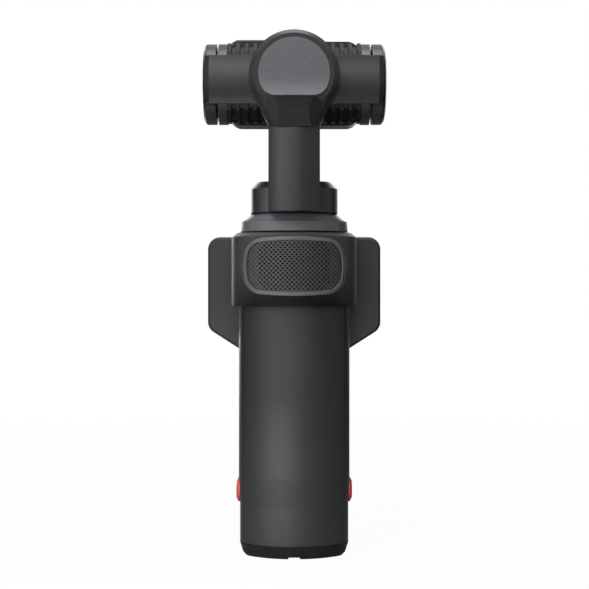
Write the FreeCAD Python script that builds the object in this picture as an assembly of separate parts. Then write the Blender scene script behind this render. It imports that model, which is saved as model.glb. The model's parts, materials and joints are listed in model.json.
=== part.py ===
"""Pocket gimbal camera, standing upright on its base.

Sizes are millimetres. The origin is the mouth of the tripod thread in the base, on the pan axis.
+Z points up, +X to the right when the grip is seen from behind, and the lenses look along +Y.
"""
import FreeCAD
import Part
import math
import os
from collections import namedtuple

V = FreeCAD.Vector
Crown = namedtuple("Crown", "depth crown_r corner_r")

# Clearances
SEAM = 0.15          # parting line between two mouldings of one body
FIT = 0.05           # radial clearance of a part that seats in a pocket
RUN = 0.03           # radial clearance of a shaft in its bearing
AIR = 0.3            # gap between parts that move past each other

# Grip: an outline with a crowned back (-Y) and front (+Y), flat sides and round corners
GRIP_HALF = 17.5
GRIP_BASE_INSET = 0.4
GRIP_BACK = Crown(12.8, 22.0, 7.0)
GRIP_FRONT = Crown(11.0, 40.0, 6.0)
GRIP_WALL = 1.8
GRIP_TOP = 101.5
FLARE_LOW = 16.0
FLARE_HIGH = 25.0
PARTING_Y = 1.0

# Base cap and what is set in it
BASE_H = 4.0
BASE_BEVEL = 0.95
BASE_BEVEL_Z = 1.0
BASE_FOOT_INSET = 1.9
NOTCH_W = 3.6
NOTCH_H = 0.65
NOTCH_DEPTH = 5.0
INSERT_R = 4.9
INSERT_H = 6.0
THREAD_R = 3.2
THREAD_DEPTH = 5.4
SOCKET_X = 10.2
SOCKET_W = 8.9
SOCKET_T = 3.2
SOCKET_H = 6.0
SOCKET_WALL = 0.3
TONGUE_T = 0.7
TONGUE_W = 6.0
TONGUE_LOW = 1.2
LIFT_ROOF = 0.6

# Battery and its sleeve
SPRING_ROOM = 4.2
SLEEVE_HALF = GRIP_HALF - SPRING_ROOM
SLEEVE_BACK = Crown(10.4, 18.0, 5.0)
SLEEVE_FRONT = Crown(8.6, 36.0, 4.5)
SLEEVE_WALL = 0.7
SLEEVE_LOW = 7.0
SLEEVE_TOP = 66.0
SLEEVE_LID = 1.0
CELL_TOP = 62.0
CELL_CONTACT_H = 2.6
CELL_RIB_T = 2.0
CURB_T = 1.0
CURB_H = 1.5
RAIL_H = 3.0
RAIL_HALF = 1.7

# Release buttons
BUTTON_Z = 20.3
BUTTON_R = 3.9
BUTTON_FLANGE_R = 4.7
BUTTON_FLANGE_T = 0.6
BUTTON_PROUD = 1.0
BUTTON_BEVEL = 1.2
SPRING_W = 3.0
SPRING_T = 0.2
SPRING_REACH = 4.2

# Main board, screws and contacts in the grip
BOARD_HALF = 8.6
BOARD_T = 1.0
BOARD_Y = -4.0
BOARD_RISE = 26.0
BOARD_TOP = SLEEVE_TOP + BOARD_RISE
Chip = namedtuple("Chip", "x up width height rise")
BOARD_CHIPS = (
    Chip(-1.8, 11.2, 6.5, 6.5, 1.2),
    Chip(4.6, 11.2, 3.6, 4.5, 0.9),
    Chip(0.0, 19.5, 8.4, 3.0, 1.6),
)
BOSS_X = 11.6
BOSS_R = 2.0
SCREW_R = 0.8
SCREW_HEAD_T = 1.0
SCREW_HEAD_R = 1.5
SCREW_SINK = 4.2
SCREW_BITE = 4.0
SCREW_Z = 82.0
DOCK_Z = 44.0
DOCK_W = 11.0
DOCK_H = 2.6
DOCK_PINS = 5
DOCK_PIN_HALF = 0.45
DOCK_SINK = 0.2

# Neck, with the pan motor inside
NECK_LOW = 101.8
NECK_FLANGE_Z = 104.9
NECK_TOP = 107.2
NECK_HALF = 16.9
NECK_BACK = Crown(14.5, 21.0, 9.0)
NECK_FRONT = Crown(11.8, 26.0, 8.5)
NECK_SHOULDER_INSET = 2.2
NECK_TOP_INSET = 3.6
NECK_SHOULDER_Z = 105.9
NECK_TONGUE = 5.0
NECK_TONGUE_T = 1.5
NECK_TONGUE_HALF = 2.4
NECK_DRAFT = 0.3
PAN_POCKET_R = 10.8
PAN_POCKET_DEPTH = 4.4
PAN_TUBE_LOW = 93.0
BEARING_SET = 0.2
SHAFT_LIP = 0.5

# Motors: radii from the axis outwards, shared by the three motors
SHAFT_R = 2.0
SHAFT_BORE_R = 1.2
BEARING_OUT_R = 3.5
BEARING_W = 2.0
TUBE_R = 4.3
STATOR_OUT_R = 8.7
STATOR_TEETH = 9
STATOR_SLOT = 1.3
STATOR_YOKE = 1.2
ROTOR_IN_R = 9.1
ROTOR_OUT_R = 10.3
ROTOR_WEB = 0.6
ROTOR_MAGNETS = 14

# Microphone wind guard: an open sleeve round the top of the grip
GUARD_GAP = 0.3
GUARD_WALL = 2.0
GUARD_LOW = 78.5
GUARD_TOP = 101.5
GUARD_END_Y = 3.0
GUARD_BEVEL = 1.8
GUARD_BEVEL_H = 1.4
GRILLE_W = 32.2
GRILLE_H = 18.4
GRILLE_R = 6.3
GRILLE_BOW = 0.45
GRILLE_BOW_SIDE = 0.3
GRILLE_Z = 90.9
GRILLE_RIM = 1.45
GRILLE_PROUD = 0.35
GRILLE_DISH = 0.5
GRILLE_PANEL = 0.7
GRILLE_PITCH = 2.88
GRILLE_HOLE = 0.62
GRILLE_FIELD_W = 21.5
GRILLE_FIELD_H = 13.4
GRILLE_STRIPS = 8
FOAM_T = 0.7
FOAM_EDGE = 1.0

# Screen module that docks on the front of the grip
SCREEN_HALF = 28.1
SCREEN_TOP = 100.8
SCREEN_LOW = 71.0
SCREEN_R = 4.0
STEM_HALF = 15.0
STEM_TOP = 62.6
STEM_LOW = 30.0
STEM_R = 6.0
SCREEN_Y = 11.4
SCREEN_T = 5.6
SCREEN_BACK_T = 2.8
SCREEN_WALL = 1.2
SCREEN_FACE = 1.0
SCREEN_BEVEL = 0.7
ELBOW_R = 2.0
GLASS_RISE = 0.4
PANEL_GAP = 0.2
PANEL_R = 0.7
GLASS_W = 52.4
GLASS_H = 26.4
GLASS_T = 0.8
GLASS_R = 2.6
PANEL_W = 49.0
PANEL_H = 23.6
PANEL_T = 1.0
CELL2_W = 26.0
CELL2_T = 1.6
CELL2_R = 1.5
DISPLAY_BOARD_GAP = 2.0
CHIP_SIDE = 7.0
CHIP_T = 0.6
KEY_BOARD_W = 22.0
KEY_BOARD_OVER = 7.0
RECORD_Z = 40.0
RECORD_R = 4.4
RECORD_PROUD = 0.8
KEY_FLANGE = 0.8
KEY_FLANGE_T = 0.6
STICK_Z = 54.0
STICK_CAP_R = 3.4
STICK_STEM_R = 1.3
STICK_BALL_R = 1.5
STICK_PIVOT_Y = 15.1
STICK_HOLE_R = 2.4
STICK_RING_R = 2.9
STICK_RING_T = 0.8
STICK_CAP_T = 1.6
STICK_RISE = 2.7
CONTROL_BEVEL = 0.45

# Pan arm: hub, column and roll motor housing
HUB_LOW = 107.5
HUB_TOP = 117.2
HUB_HALF = 13.6
HUB_BACK = Crown(14.0, 24.0, 7.5)
HUB_FRONT = Crown(12.6, 20.0, 9.0)
HUB_CHAMFER = 2.2
HUB_SEAT = 2.4
COLUMN_HALF = 7.85
COLUMN_FRONT = 17.6
COLUMN_SIDE = 18.6
COLUMN_BACK = 21.7
COLUMN_FILLET = 2.6
BRIDGE_FRONT = 8.0
HEAD_Z = 148.65
HEAD_R = 13.8
HEAD_TAPER_Z = 8.1
HEAD_TAPER_END = 15.2
HEAD_SIDE = 20.3
HEAD_BACK = 21.8
HEAD_POCKET_R = 11.6
HEAD_FLOOR = 1.0
CAP_R = 12.1
CAP_JOIN_Z = 8.0
CAP_JAW_HALF = 7.3
CAP_JAW_Z = 13.0
CAP_CHIN_HALF = 4.3
CAP_CHIN_Z = 16.2
CAP_CHIN_BULGE = 0.5
CAP_LOW_Z = 16.5
CAP_BACK = 24.2
COVER_R = 10.8
COVER_CHORD = 6.8
COVER_T = 0.4
FACET_MID_Z = 10.2
FACET_MID_DEPTH = 0.7
FACET_LOW_DEPTH = 1.9
FLANK_TOP_HALF = 6.0
FLANK_HALF = 4.5
FLANK_LOW_HALF = 5.1
FLANK_DROP = 1.6

# Camera module
MODULE_HALF = 20.8
MODULE_WALL = 1.3
MODULE_R = 4.0
FIN_R = 12.4
FIN_DEPTH = 1.2
FIN_FLAT = 4.4
FIN_SLOPE = 0.75
FIN_COUNT = 16
FIN_T = 1.15
FIN_PITCH = (2 * MODULE_HALF - FIN_T) / (FIN_COUNT - 1)
RIM_Y = 0.5
SHELL_Y = 2.0
FRONT_Y = 12.5
FRONT_UP = 13.8
FRONT_DOWN = 12.8
FRONT_BEVEL = 1.6
HUMP_X = -13.8
HUMP_W = 12.0
HUMP_RISE = 0.8
SIDE_HUB_R = 12.7
SIDE_HUB_IN = MODULE_HALF + 2 * FIT
SIDE_HUB_T = 2.8
SIDE_HUB_OUT = SIDE_HUB_IN + SIDE_HUB_T
TILT_SHAFT_R = 1.5
TILT_BEARING_R = 2.8
TILT_STATOR_IN_R = 3.8
TILT_BEARING_W = 1.4
TILT_STATOR_OUT_R = 8.4
TILT_ROTOR_IN_R = 8.8
TILT_ROTOR_OUT_R = 10.2

# Roll yoke
YOKE_BACK = 17.2
YOKE_PLATE_T = 2.4
YOKE_CROWN_R = 20.0
YOKE_BLEND_R = 4.0
YOKE_CORNER = 1.3
YOKE_UP = 6.75
YOKE_DOWN = 7.95
YOKE_DISC_R = 13.9
ARM_GAP = 0.7
ARM_T = 3.0
ARM_IN = SIDE_HUB_OUT + ARM_GAP
ARM_OUT = ARM_IN + ARM_T
ARM_DISC_R = 12.66
COVER_SEAM = 0.05
END_COVER_R = 12.5
END_COVER_T = 1.2
END_COVER_BEVEL = 2.2
TILT_POCKET_R = 10.9
TILT_FLOOR = 0.5

Lens = namedtuple("Lens", "name x ring_r glass_r reach")
LENSES = (
    Lens("main", -9.2, 10.4, 7.4, 3.0),
    Lens("tele", 11.0, 8.2, 5.2, 2.2),
)
LENS_LIP = 1.1
LENS_BEVEL = 0.7
LENS_MOUTH = 0.4
GLASS_SINK = 1.2
LENS_GLASS_T = 0.9
LENS_STOP = 1.6
SENSOR_BOARD_T = 1.0
SENSOR_GAP = 1.0
SENSOR_T = 1.2
SENSOR_W = 8.4
SENSOR_H = 6.8

os.makedirs("parts", exist_ok=True)


def save(name, shape):
    """Write one sub-part to its own file and print its volume."""
    shape = shape.removeSplitter() if shape.ShapeType != "Compound" else shape
    shape.exportStep(f"parts/{name}.step")
    print(f"{name}: {len(shape.Solids)} solid(s), {shape.Volume:.1f} mm3")


def join(*shapes):
    """Fuse several solids into one."""
    first, rest = shapes[0], list(shapes[1:])
    return first.fuse(rest).removeSplitter() if rest else first


def group(solids):
    """Keep alike solids together without fusing them."""
    return Part.makeCompound(list(solids))


def crown_corner(half, crown, side, inset):
    """Centre of a corner arc, and where it runs into the crown. side is -1 at the back, +1 in front."""
    crown_r = crown.crown_r - inset
    corner_r = crown.corner_r - inset
    centre_x = half - inset - corner_r
    crown_y = side * (crown.depth - inset - crown_r)
    centre_y = crown_y + side * math.sqrt((crown_r - corner_r) ** 2 - centre_x ** 2)
    reach = crown_r / (crown_r - corner_r)
    return centre_x, centre_y, centre_x * reach, crown_y + (centre_y - crown_y) * reach


def crowned_outline(half, back, front, z, inset=0.0):
    """Closed outline at height z: crowned back and front, flat sides, round corners, drawn in by inset."""
    edges = []
    a = half - inset
    ends = []
    for side, crown in ((-1, back), (1, front)):
        cx, cy, tx, ty = crown_corner(half, crown, side, inset)
        corner_r = crown.corner_r - inset
        middle = 0.5 * math.atan2(ty - cy, tx - cx)
        mx, my = cx + corner_r * math.cos(middle), cy + corner_r * math.sin(middle)
        depth = side * (crown.depth - inset)
        right = Part.Arc(V(a, cy, z), V(mx, my, z), V(tx, ty, z))
        top = Part.Arc(V(tx, ty, z), V(0, depth, z), V(-tx, ty, z))
        left = Part.Arc(V(-tx, ty, z), V(-mx, my, z), V(-a, cy, z))
        edges.append([right, top, left])
        ends.append(cy)
    back_edges, front_edges = edges
    left_side = Part.LineSegment(V(-a, ends[0], z), V(-a, ends[1], z))
    right_side = Part.LineSegment(V(a, ends[1], z), V(a, ends[0], z))
    order = back_edges + [left_side] + front_edges[::-1] + [right_side]
    return Part.Wire(Part.__sortEdges__([e.toShape() for e in order]))


def crowned_prism(half, back, front, low, high, inset=0.0):
    """Upright block with a crowned outline."""
    face = Part.Face(crowned_outline(half, back, front, low, inset))
    return face.extrude(V(0, 0, high - low))


def grip_prism(low, high, inset=0.0):
    """Straight length of the grip's outline."""
    return crowned_prism(GRIP_HALF, GRIP_BACK, GRIP_FRONT, low, high, inset)


def grip_block(low, high, inset=0.0):
    """The grip's outside drawn in by inset. It widens a little above the base."""
    wires = [crowned_outline(GRIP_HALF, GRIP_BACK, GRIP_FRONT, FLARE_LOW, inset + GRIP_BASE_INSET),
             crowned_outline(GRIP_HALF, GRIP_BACK, GRIP_FRONT, FLARE_HIGH, inset)]
    flare = Part.makeLoft(wires, True, True)
    foot = grip_prism(low, FLARE_LOW, inset + GRIP_BASE_INSET)
    return join(foot, flare, grip_prism(FLARE_HIGH, high, inset))


def box(x0, x1, y0, y1, z0, z1):
    """Block between two corners."""
    return Part.makeBox(x1 - x0, y1 - y0, z1 - z0, V(x0, y0, z0))


def rod(radius, start, direction, length):
    """Round bar from a point along a direction."""
    return Part.makeCylinder(radius, length, start, direction)


def ring(inner, outer, start, direction, length):
    """Round tube from a point along a direction."""
    return rod(outer, start, direction, length).cut(rod(inner, start, direction, length))


def round_polygon(corners, y):
    """Closed outline in the XZ plane at depth y from (x, z, corner radius) rows."""
    count = len(corners)
    edges = []
    stops = []
    for i, (x, z, r) in enumerate(corners):
        here = V(x, y, z)
        before = V(corners[i - 1][0], y, corners[i - 1][1])
        after = V(corners[(i + 1) % count][0], y, corners[(i + 1) % count][1])
        to_before = (before - here).normalize()
        to_after = (after - here).normalize()
        half_angle = 0.5 * to_before.getAngle(to_after)
        run = r / math.tan(half_angle)
        inward = (to_before + to_after).normalize()
        centre = here + inward * (r / math.sin(half_angle))
        stops.append((here + to_before * run, centre - inward * r, here + to_after * run))
    for i, (start, middle, end) in enumerate(stops):
        edges.append(Part.Arc(start, middle, end).toShape())
        following = stops[(i + 1) % count][0]
        if (following - end).Length > 1e-6:
            edges.append(Part.LineSegment(end, following).toShape())
    return Part.Wire(Part.__sortEdges__(edges))


def plate(wire, thickness):
    """Extrude an XZ outline along +Y."""
    return Part.Face(wire).extrude(V(0, thickness, 0))


def round_rectangle(width, height, radius, z_mid, y, x_mid=0.0):
    """Rounded rectangle in the XZ plane."""
    w, h = 0.5 * width, 0.5 * height
    corners = [(x_mid - w, z_mid - h, radius), (x_mid + w, z_mid - h, radius),
               (x_mid + w, z_mid + h, radius), (x_mid - w, z_mid + h, radius)]
    return round_polygon(corners, y)


def stator(start, direction, length, inner, outer):
    """Laminated core: straight-sided teeth with wide tips round a bore with flats."""
    tooth = 2 * math.pi / STATOR_TEETH
    slot_half = 0.5 * STATOR_SLOT
    root, tip = inner + STATOR_YOKE, outer - STATOR_YOKE
    neck_half = 0.5 * tooth - slot_half * 2 / (root + tip) - slot_half / root
    tip_half = 0.5 * tooth - 0.4 * slot_half / outer
    slim = neck_half * root / tip
    rows = ((root, -neck_half), (tip, -slim), (outer, -tip_half),
            (outer, tip_half), (tip, slim), (root, neck_half))
    points = []
    for i in range(STATOR_TEETH):
        for radius, turn in rows:
            angle = i * tooth + turn
            points.append(V(radius * math.cos(angle), radius * math.sin(angle), 0))
    core = Part.Face(Part.makePolygon(points + points[:1])).extrude(V(0, 0, length))
    core = core.cut(regular_prism(2 * STATOR_TEETH, inner, length))
    core.Placement = FreeCAD.Placement(start, FreeCAD.Rotation(UP, direction))
    return core


def regular_prism(sides, flat_r, length):
    """Regular prism on the Z axis whose flats stand flat_r from the axis."""
    corner_r = flat_r / math.cos(math.pi / sides)
    points = []
    for i in range(sides + 1):
        angle = 2 * math.pi * i / sides
        points.append(V(corner_r * math.cos(angle), corner_r * math.sin(angle), 0))
    return Part.Face(Part.makePolygon(points)).extrude(V(0, 0, length))


def bearing(start, direction, inner, outer, length):
    """Sealed ball bearing, drawn as one ring."""
    return ring(inner, outer, start, direction, length)


UP, DOWN = V(0, 0, 1), V(0, 0, -1)
BACKWARD, FORWARD = V(0, -1, 0), V(0, 1, 0)
HEAD = V(0, 0, HEAD_Z)


# Grip shells, parted at a plane, with the side button holes, screw bosses and the dock window
def button_half_width():
    """Half the grip's width at the height of the release buttons."""
    share = (BUTTON_Z - FLARE_LOW) / (FLARE_HIGH - FLARE_LOW)
    return GRIP_HALF - (1 - share) * GRIP_BASE_INSET


def grip_shells():
    """Two shells parted at a plane, with button holes, screw bosses and the dock window."""
    low = BASE_H + SEAM
    outer = grip_block(low, GRIP_TOP)
    wall = outer.cut(grip_prism(low, GRIP_TOP, GRIP_WALL + GRIP_BASE_INSET))
    across = V(1, 0, 0)
    flange_x = button_flange_x() + AIR / 3
    holes = [rod(BUTTON_R + AIR / 2, V(-GRIP_HALF, PARTING_Y, BUTTON_Z), across, 2 * GRIP_HALF),
             rod(BUTTON_FLANGE_R + AIR / 2, V(-flange_x, PARTING_Y, BUTTON_Z), across, 2 * flange_x)]
    window = box(-0.5 * DOCK_W - FIT, 0.5 * DOCK_W + FIT, 0, GRIP_FRONT.depth,
                 DOCK_Z - 0.5 * DOCK_H - FIT, DOCK_Z + 0.5 * DOCK_H + FIT)
    back_y, front_y = PARTING_Y - 0.5 * SEAM, PARTING_Y + 0.5 * SEAM
    back_half = box(-GRIP_HALF, GRIP_HALF, -GRIP_BACK.depth, back_y, low, GRIP_TOP)
    front_half = box(-GRIP_HALF, GRIP_HALF, front_y, GRIP_FRONT.depth, low, GRIP_TOP)
    back, front, screws = [wall.common(back_half)], [wall.common(front_half)], []
    for x in (-BOSS_X, BOSS_X):
        back.append(rod(BOSS_R, V(x, back_y, SCREW_Z), BACKWARD, GRIP_BACK.depth).common(outer))
        front.append(rod(BOSS_R, V(x, front_y, SCREW_Z), FORWARD, GRIP_FRONT.depth).common(outer))
        screws.append(screw_solid(x))
        holes.append(screw_bore(x))
    save("grip_back_shell", join(*back).cut(holes))
    save("grip_front_shell", join(*front).cut(holes + [window]))
    save("shell_screws", group(screws))


def button_flange_x():
    """Outer face of the flange that keeps a button in the grip."""
    return button_half_width() - GRIP_WALL - AIR / 2


def screw_tip_y():
    """Where a shell screw ends inside the back boss."""
    return PARTING_Y - SCREW_BITE


def screw_head_y():
    """Where a shell screw's head seats, sunk below the front."""
    return GRIP_FRONT.depth - SCREW_SINK


def screw_solid(x):
    """One shell screw along Y."""
    head_y = screw_head_y() + FIT
    shank = rod(SCREW_R, V(x, screw_tip_y(), SCREW_Z), FORWARD, head_y - screw_tip_y())
    head = rod(SCREW_HEAD_R, V(x, head_y, SCREW_Z), FORWARD, SCREW_HEAD_T)
    return join(shank, head)


def screw_bore(x):
    """Stepped bore for one shell screw."""
    shank = rod(SCREW_R + FIT, V(x, screw_tip_y() - FIT, SCREW_Z), FORWARD, GRIP_FRONT.depth)
    head = rod(SCREW_HEAD_R + FIT, V(x, screw_head_y(), SCREW_Z), FORWARD, GRIP_FRONT.depth)
    return join(shank, head)


def base_parts():
    """Base cap with its thread insert and charging socket, and the battery that stands on it."""
    rows = ((0.0, BASE_FOOT_INSET), (BASE_BEVEL_Z, BASE_BEVEL), (BASE_H, 0.0))
    wires = []
    for z, inset in rows:
        wires.append(crowned_outline(GRIP_HALF, GRIP_BACK, GRIP_FRONT, z, GRIP_BASE_INSET + inset))
    cap = Part.makeLoft(wires, True, True)
    lift_half, lift_y = SOCKET_X + 0.5 * SOCKET_T, 0.5 * SOCKET_W
    lift = box(-lift_half, lift_half, -lift_y, lift_y, BASE_H, cell_low())
    notch = box(-0.5 * NOTCH_W, 0.5 * NOTCH_W, -GRIP_BACK.depth, -GRIP_BACK.depth + NOTCH_DEPTH, 0, NOTCH_H)
    insert_hole = rod(INSERT_R + FIT, V(0, 0, 0), UP, INSERT_H + FIT)
    save("base_cap", join(cap, lift).cut([notch, insert_hole, socket_solid(0.0)]))
    insert = rod(INSERT_R, V(0, 0, 0), UP, INSERT_H).cut(rod(THREAD_R, V(0, 0, 0), UP, THREAD_DEPTH))
    save("tripod_insert", insert)
    shell = socket_solid(FIT).cut(socket_solid(FIT + SOCKET_WALL, -SOCKET_WALL))
    half_t = 0.5 * TONGUE_T
    tongue = box(SOCKET_X - half_t, SOCKET_X + half_t, -0.5 * TONGUE_W, 0.5 * TONGUE_W, TONGUE_LOW, SOCKET_H)
    save("usb_socket", join(shell, tongue))
    cell = crowned_prism(SLEEVE_HALF, SLEEVE_BACK, SLEEVE_FRONT, cell_low(), CELL_TOP, SLEEVE_WALL + AIR)
    rib = box(-0.5 * DOCK_W, 0.5 * DOCK_W, -CELL_RIB_T, 0.0, CELL_TOP, CELL_TOP + CELL_CONTACT_H - AIR)
    save("battery_pack", join(cell, rib))


def cell_low():
    """Underside of the battery, on the lift that houses the thread insert."""
    return INSERT_H + LIFT_ROOF


def socket_solid(inset, top_change=0.0):
    """Oval block of the charging socket, its long side along Y."""
    r = 0.5 * SOCKET_T - inset
    run = 0.5 * (SOCKET_W - SOCKET_T)
    height = SOCKET_H + top_change
    middle = box(SOCKET_X - r, SOCKET_X + r, -run, run, 0, height)
    ends = [rod(r, V(SOCKET_X, y, 0), UP, height) for y in (-run, run)]
    return join(middle, *ends)


def battery_sleeve():
    """Open-bottomed sleeve that guides the battery, with the board's slot and two rails."""
    outer = crowned_prism(SLEEVE_HALF, SLEEVE_BACK, SLEEVE_FRONT, SLEEVE_LOW, SLEEVE_TOP)
    inner = crowned_prism(SLEEVE_HALF, SLEEVE_BACK, SLEEVE_FRONT, SLEEVE_LOW, SLEEVE_TOP - SLEEVE_LID,
                          SLEEVE_WALL)
    slot = box(-BOARD_HALF - FIT, BOARD_HALF + FIT, BOARD_Y - FIT, BOARD_Y + BOARD_T + FIT,
               board_low() - FIT, SLEEVE_TOP + CURB_H)
    curb = box(-BOARD_HALF - CURB_T, BOARD_HALF + CURB_T, BOARD_Y - CURB_T, BOARD_Y + BOARD_T + CURB_T,
               SLEEVE_TOP, SLEEVE_TOP + CURB_H)
    rail_out = GRIP_HALF - GRIP_WALL - GRIP_BASE_INSET - FIT
    rails = box(-rail_out, rail_out, -RAIL_HALF, RAIL_HALF, SLEEVE_TOP - RAIL_H, SLEEVE_TOP)
    body = join(outer, rails).cut(inner)
    save("battery_sleeve", join(body, curb).cut(slot))


def board_low():
    """Lower edge of the main board, let into the sleeve's lid."""
    return SLEEVE_TOP - 0.5 * SLEEVE_LID


def release_buttons():
    """Two side buttons with their springs. Each has a flange that the grip keeps in."""
    face_x = button_half_width()
    flange_out = button_flange_x()
    for name, side in (("left", -1), ("right", 1)):
        rows = [(BUTTON_FLANGE_R, flange_out - BUTTON_FLANGE_T), (BUTTON_FLANGE_R, flange_out),
                (BUTTON_R, flange_out), (BUTTON_R, face_x + 0.4 * BUTTON_PROUD),
                (BUTTON_R - BUTTON_BEVEL, face_x + BUTTON_PROUD)]
        points = [V(side * x, PARTING_Y, BUTTON_Z + radius) for radius, x in rows]
        points.append(V(side * rows[-1][1], PARTING_Y, BUTTON_Z))
        points.append(V(side * rows[0][1], PARTING_Y, BUTTON_Z))
        face = Part.Face(Part.makePolygon(points + points[:1]))
        save(f"release_button_{name}", face.revolve(V(0, PARTING_Y, BUTTON_Z), V(1, 0, 0), 360))
        save(f"release_spring_{name}", leaf_spring(side, flange_out - BUTTON_FLANGE_T))


def leaf_spring(side, flange_x):
    """Bowed strip between the battery sleeve and a button's flange."""
    foot_x, top_x = SLEEVE_HALF + FIT, flange_x - FIT
    low_z, high_z = BUTTON_Z - SPRING_REACH, BUTTON_Z + SPRING_REACH
    y = PARTING_Y - 0.5 * SPRING_W
    step = V(side * SPRING_T, 0, 0)
    tips = [V(side * foot_x, y, low_z), V(side * (top_x - SPRING_T), y, BUTTON_Z),
            V(side * foot_x, y, high_z)]
    far = [tip + step for tip in reversed(tips)]
    edges = [Part.Arc(*tips), Part.LineSegment(tips[2], far[0]),
             Part.Arc(*far), Part.LineSegment(far[2], tips[0])]
    strip = Part.Face(Part.Wire([edge.toShape() for edge in edges])).extrude(V(0, SPRING_W, 0))
    return strip if strip.Volume > 0 else strip.reversed()


# Neck with the pan motor, and the shaft that the arm turns on
def neck():
    """Neck that plugs into the grip and holds the pan motor."""
    rows = ((NECK_LOW, 0.0), (NECK_FLANGE_Z, NECK_DRAFT), (NECK_SHOULDER_Z, NECK_SHOULDER_INSET),
            (NECK_TOP, NECK_TOP_INSET))
    wires = [crowned_outline(NECK_HALF, NECK_BACK, NECK_FRONT, z, inset) for z, inset in rows]
    dome = Part.makeLoft(wires, True, True)
    reach = GRIP_HALF - GRIP_WALL - GRIP_BASE_INSET - FIT
    low = GRIP_TOP - NECK_TONGUE
    back_y, front_y = PARTING_Y - NECK_TONGUE_HALF, PARTING_Y + NECK_TONGUE_HALF
    middle = reach - NECK_TONGUE_T
    tongues = box(-reach, reach, back_y, front_y, low, NECK_LOW)
    tongues = tongues.cut(box(-middle, middle, back_y, front_y, low, NECK_LOW))
    tube = rod(TUBE_R, V(0, 0, PAN_TUBE_LOW), UP, NECK_LOW - PAN_TUBE_LOW)
    floor_z = NECK_TOP - PAN_POCKET_DEPTH
    pocket = ring(TUBE_R, PAN_POCKET_R, V(0, 0, floor_z), UP, PAN_POCKET_DEPTH)
    trim = rod(TUBE_R, V(0, 0, tube_top()), UP, NECK_TOP - tube_top())
    bore = rod(BEARING_OUT_R + FIT / 2, V(0, 0, PAN_TUBE_LOW), UP, NECK_TOP - PAN_TUBE_LOW)
    save("neck_housing", join(dome, tube, tongues).cut([pocket, trim, bore]))
    low, high = pan_bearing_zs()
    save("pan_bearings", group([bearing(V(0, 0, z), UP, SHAFT_R + RUN, BEARING_OUT_R, BEARING_W)
                                for z in (low, high)]))
    stator_z = floor_z + 2 * AIR
    save("pan_stator", stator(V(0, 0, stator_z), UP, rotor_web_z() - AIR - stator_z, TUBE_R + FIT / 2,
                              STATOR_OUT_R))
    save("pan_rotor", rotor(V(0, 0, HUB_LOW), DOWN, HUB_LOW - floor_z - AIR, SHAFT_R + FIT, ROTOR_IN_R,
                            ROTOR_OUT_R))
    shaft_low = low - 2 * BEARING_SET
    rows = [(SHAFT_BORE_R, shaft_low - SHAFT_LIP), (BEARING_OUT_R - SHAFT_LIP, shaft_low - SHAFT_LIP),
            (BEARING_OUT_R - SHAFT_LIP, shaft_low), (SHAFT_R, shaft_low), (SHAFT_R, HUB_LOW + HUB_SEAT),
            (SHAFT_BORE_R, HUB_LOW + HUB_SEAT)]
    points = [V(radius, 0, z) for radius, z in rows]
    save("pan_shaft", Part.Face(Part.makePolygon(points + points[:1])).revolve(V(0, 0, 0), UP, 360))


def rotor(start, direction, depth, shaft_r, inner, outer):
    """Rotor bell: a web on the shaft with flat magnets round the stator, opening along direction."""
    sides = 2 * ROTOR_MAGNETS
    bell = regular_prism(sides, outer * math.cos(math.pi / sides), depth)
    hollow = regular_prism(ROTOR_MAGNETS, inner, depth)
    hollow.translate(V(0, 0, ROTOR_WEB))
    bell = bell.cut([hollow, regular_prism(ROTOR_MAGNETS, shaft_r, depth)])
    bell.Placement = FreeCAD.Placement(start, FreeCAD.Rotation(UP, direction))
    return bell


def tube_top():
    """Top of the neck's bearing tube, under the rotor's web."""
    return rotor_web_z() - AIR


def rotor_web_z():
    """Underside of the pan rotor's web, just below the hub."""
    return HUB_LOW - ROTOR_WEB


def pan_bearing_zs():
    """Lower faces of the two pan bearings."""
    return PAN_TUBE_LOW + 3 * BEARING_SET, tube_top() - BEARING_W - BEARING_SET


# Microphone wind guard
def band(inset_out, inset_in):
    """Layer of the guard between two offsets from the grip, behind the guard's ends."""
    outer = grip_prism(GUARD_LOW, GUARD_TOP, -inset_out)
    inner = grip_prism(GUARD_LOW, GUARD_TOP, -inset_in)
    return outer.cut(inner).common(behind_ends(inset_out))


def wind_guard():
    """Clip-on sleeve round the top of the grip, its perforated grille and the foam behind it."""
    out = GUARD_GAP + GUARD_WALL
    bevel_z = GUARD_TOP - GUARD_BEVEL_H
    wires = [crowned_outline(GRIP_HALF, GRIP_BACK, GRIP_FRONT, z, -offset)
             for z, offset in ((bevel_z, out), (GUARD_TOP, out - GUARD_BEVEL))]
    outer = join(grip_prism(GUARD_LOW, bevel_z, -out), Part.makeLoft(wires, True, True))
    inner = grip_prism(GUARD_LOW, GUARD_TOP, -GUARD_GAP)
    sleeve = outer.cut(inner).common(behind_ends(out))
    front = -GRIP_BACK.depth - out - GRILLE_PROUD
    depth = GRIP_BACK.depth + out + GRILLE_PROUD
    seat = GUARD_GAP + FOAM_T + FIT
    window = plate(grille_outline(-FIT, front), depth)
    shallow = window.common(band(out + GRILLE_PROUD, seat))
    deep = plate(grille_outline(FOAM_EDGE, front), depth)
    save("guard_sleeve", sleeve.cut([shallow, deep]))
    body = plate(grille_outline(0.0, front), depth).common(band(out + GRILLE_PROUD, seat + FIT))
    field = plate(grille_outline(GRILLE_RIM, front), depth)
    face = out + GRILLE_PROUD - GRILLE_DISH
    dish = field.common(faceted_band(face + 2 * GRILLE_DISH, face))
    back = field.common(faceted_band(face - GRILLE_PANEL, seat - GRILLE_PANEL))
    save("guard_grille", body.cut([dish, back]).cut(grille_holes(front, depth)))
    pad = plate(grille_outline(FOAM_EDGE + FIT, front), depth)
    save("guard_foam", pad.common(band(GUARD_GAP + FOAM_T, GUARD_GAP)))


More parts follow.
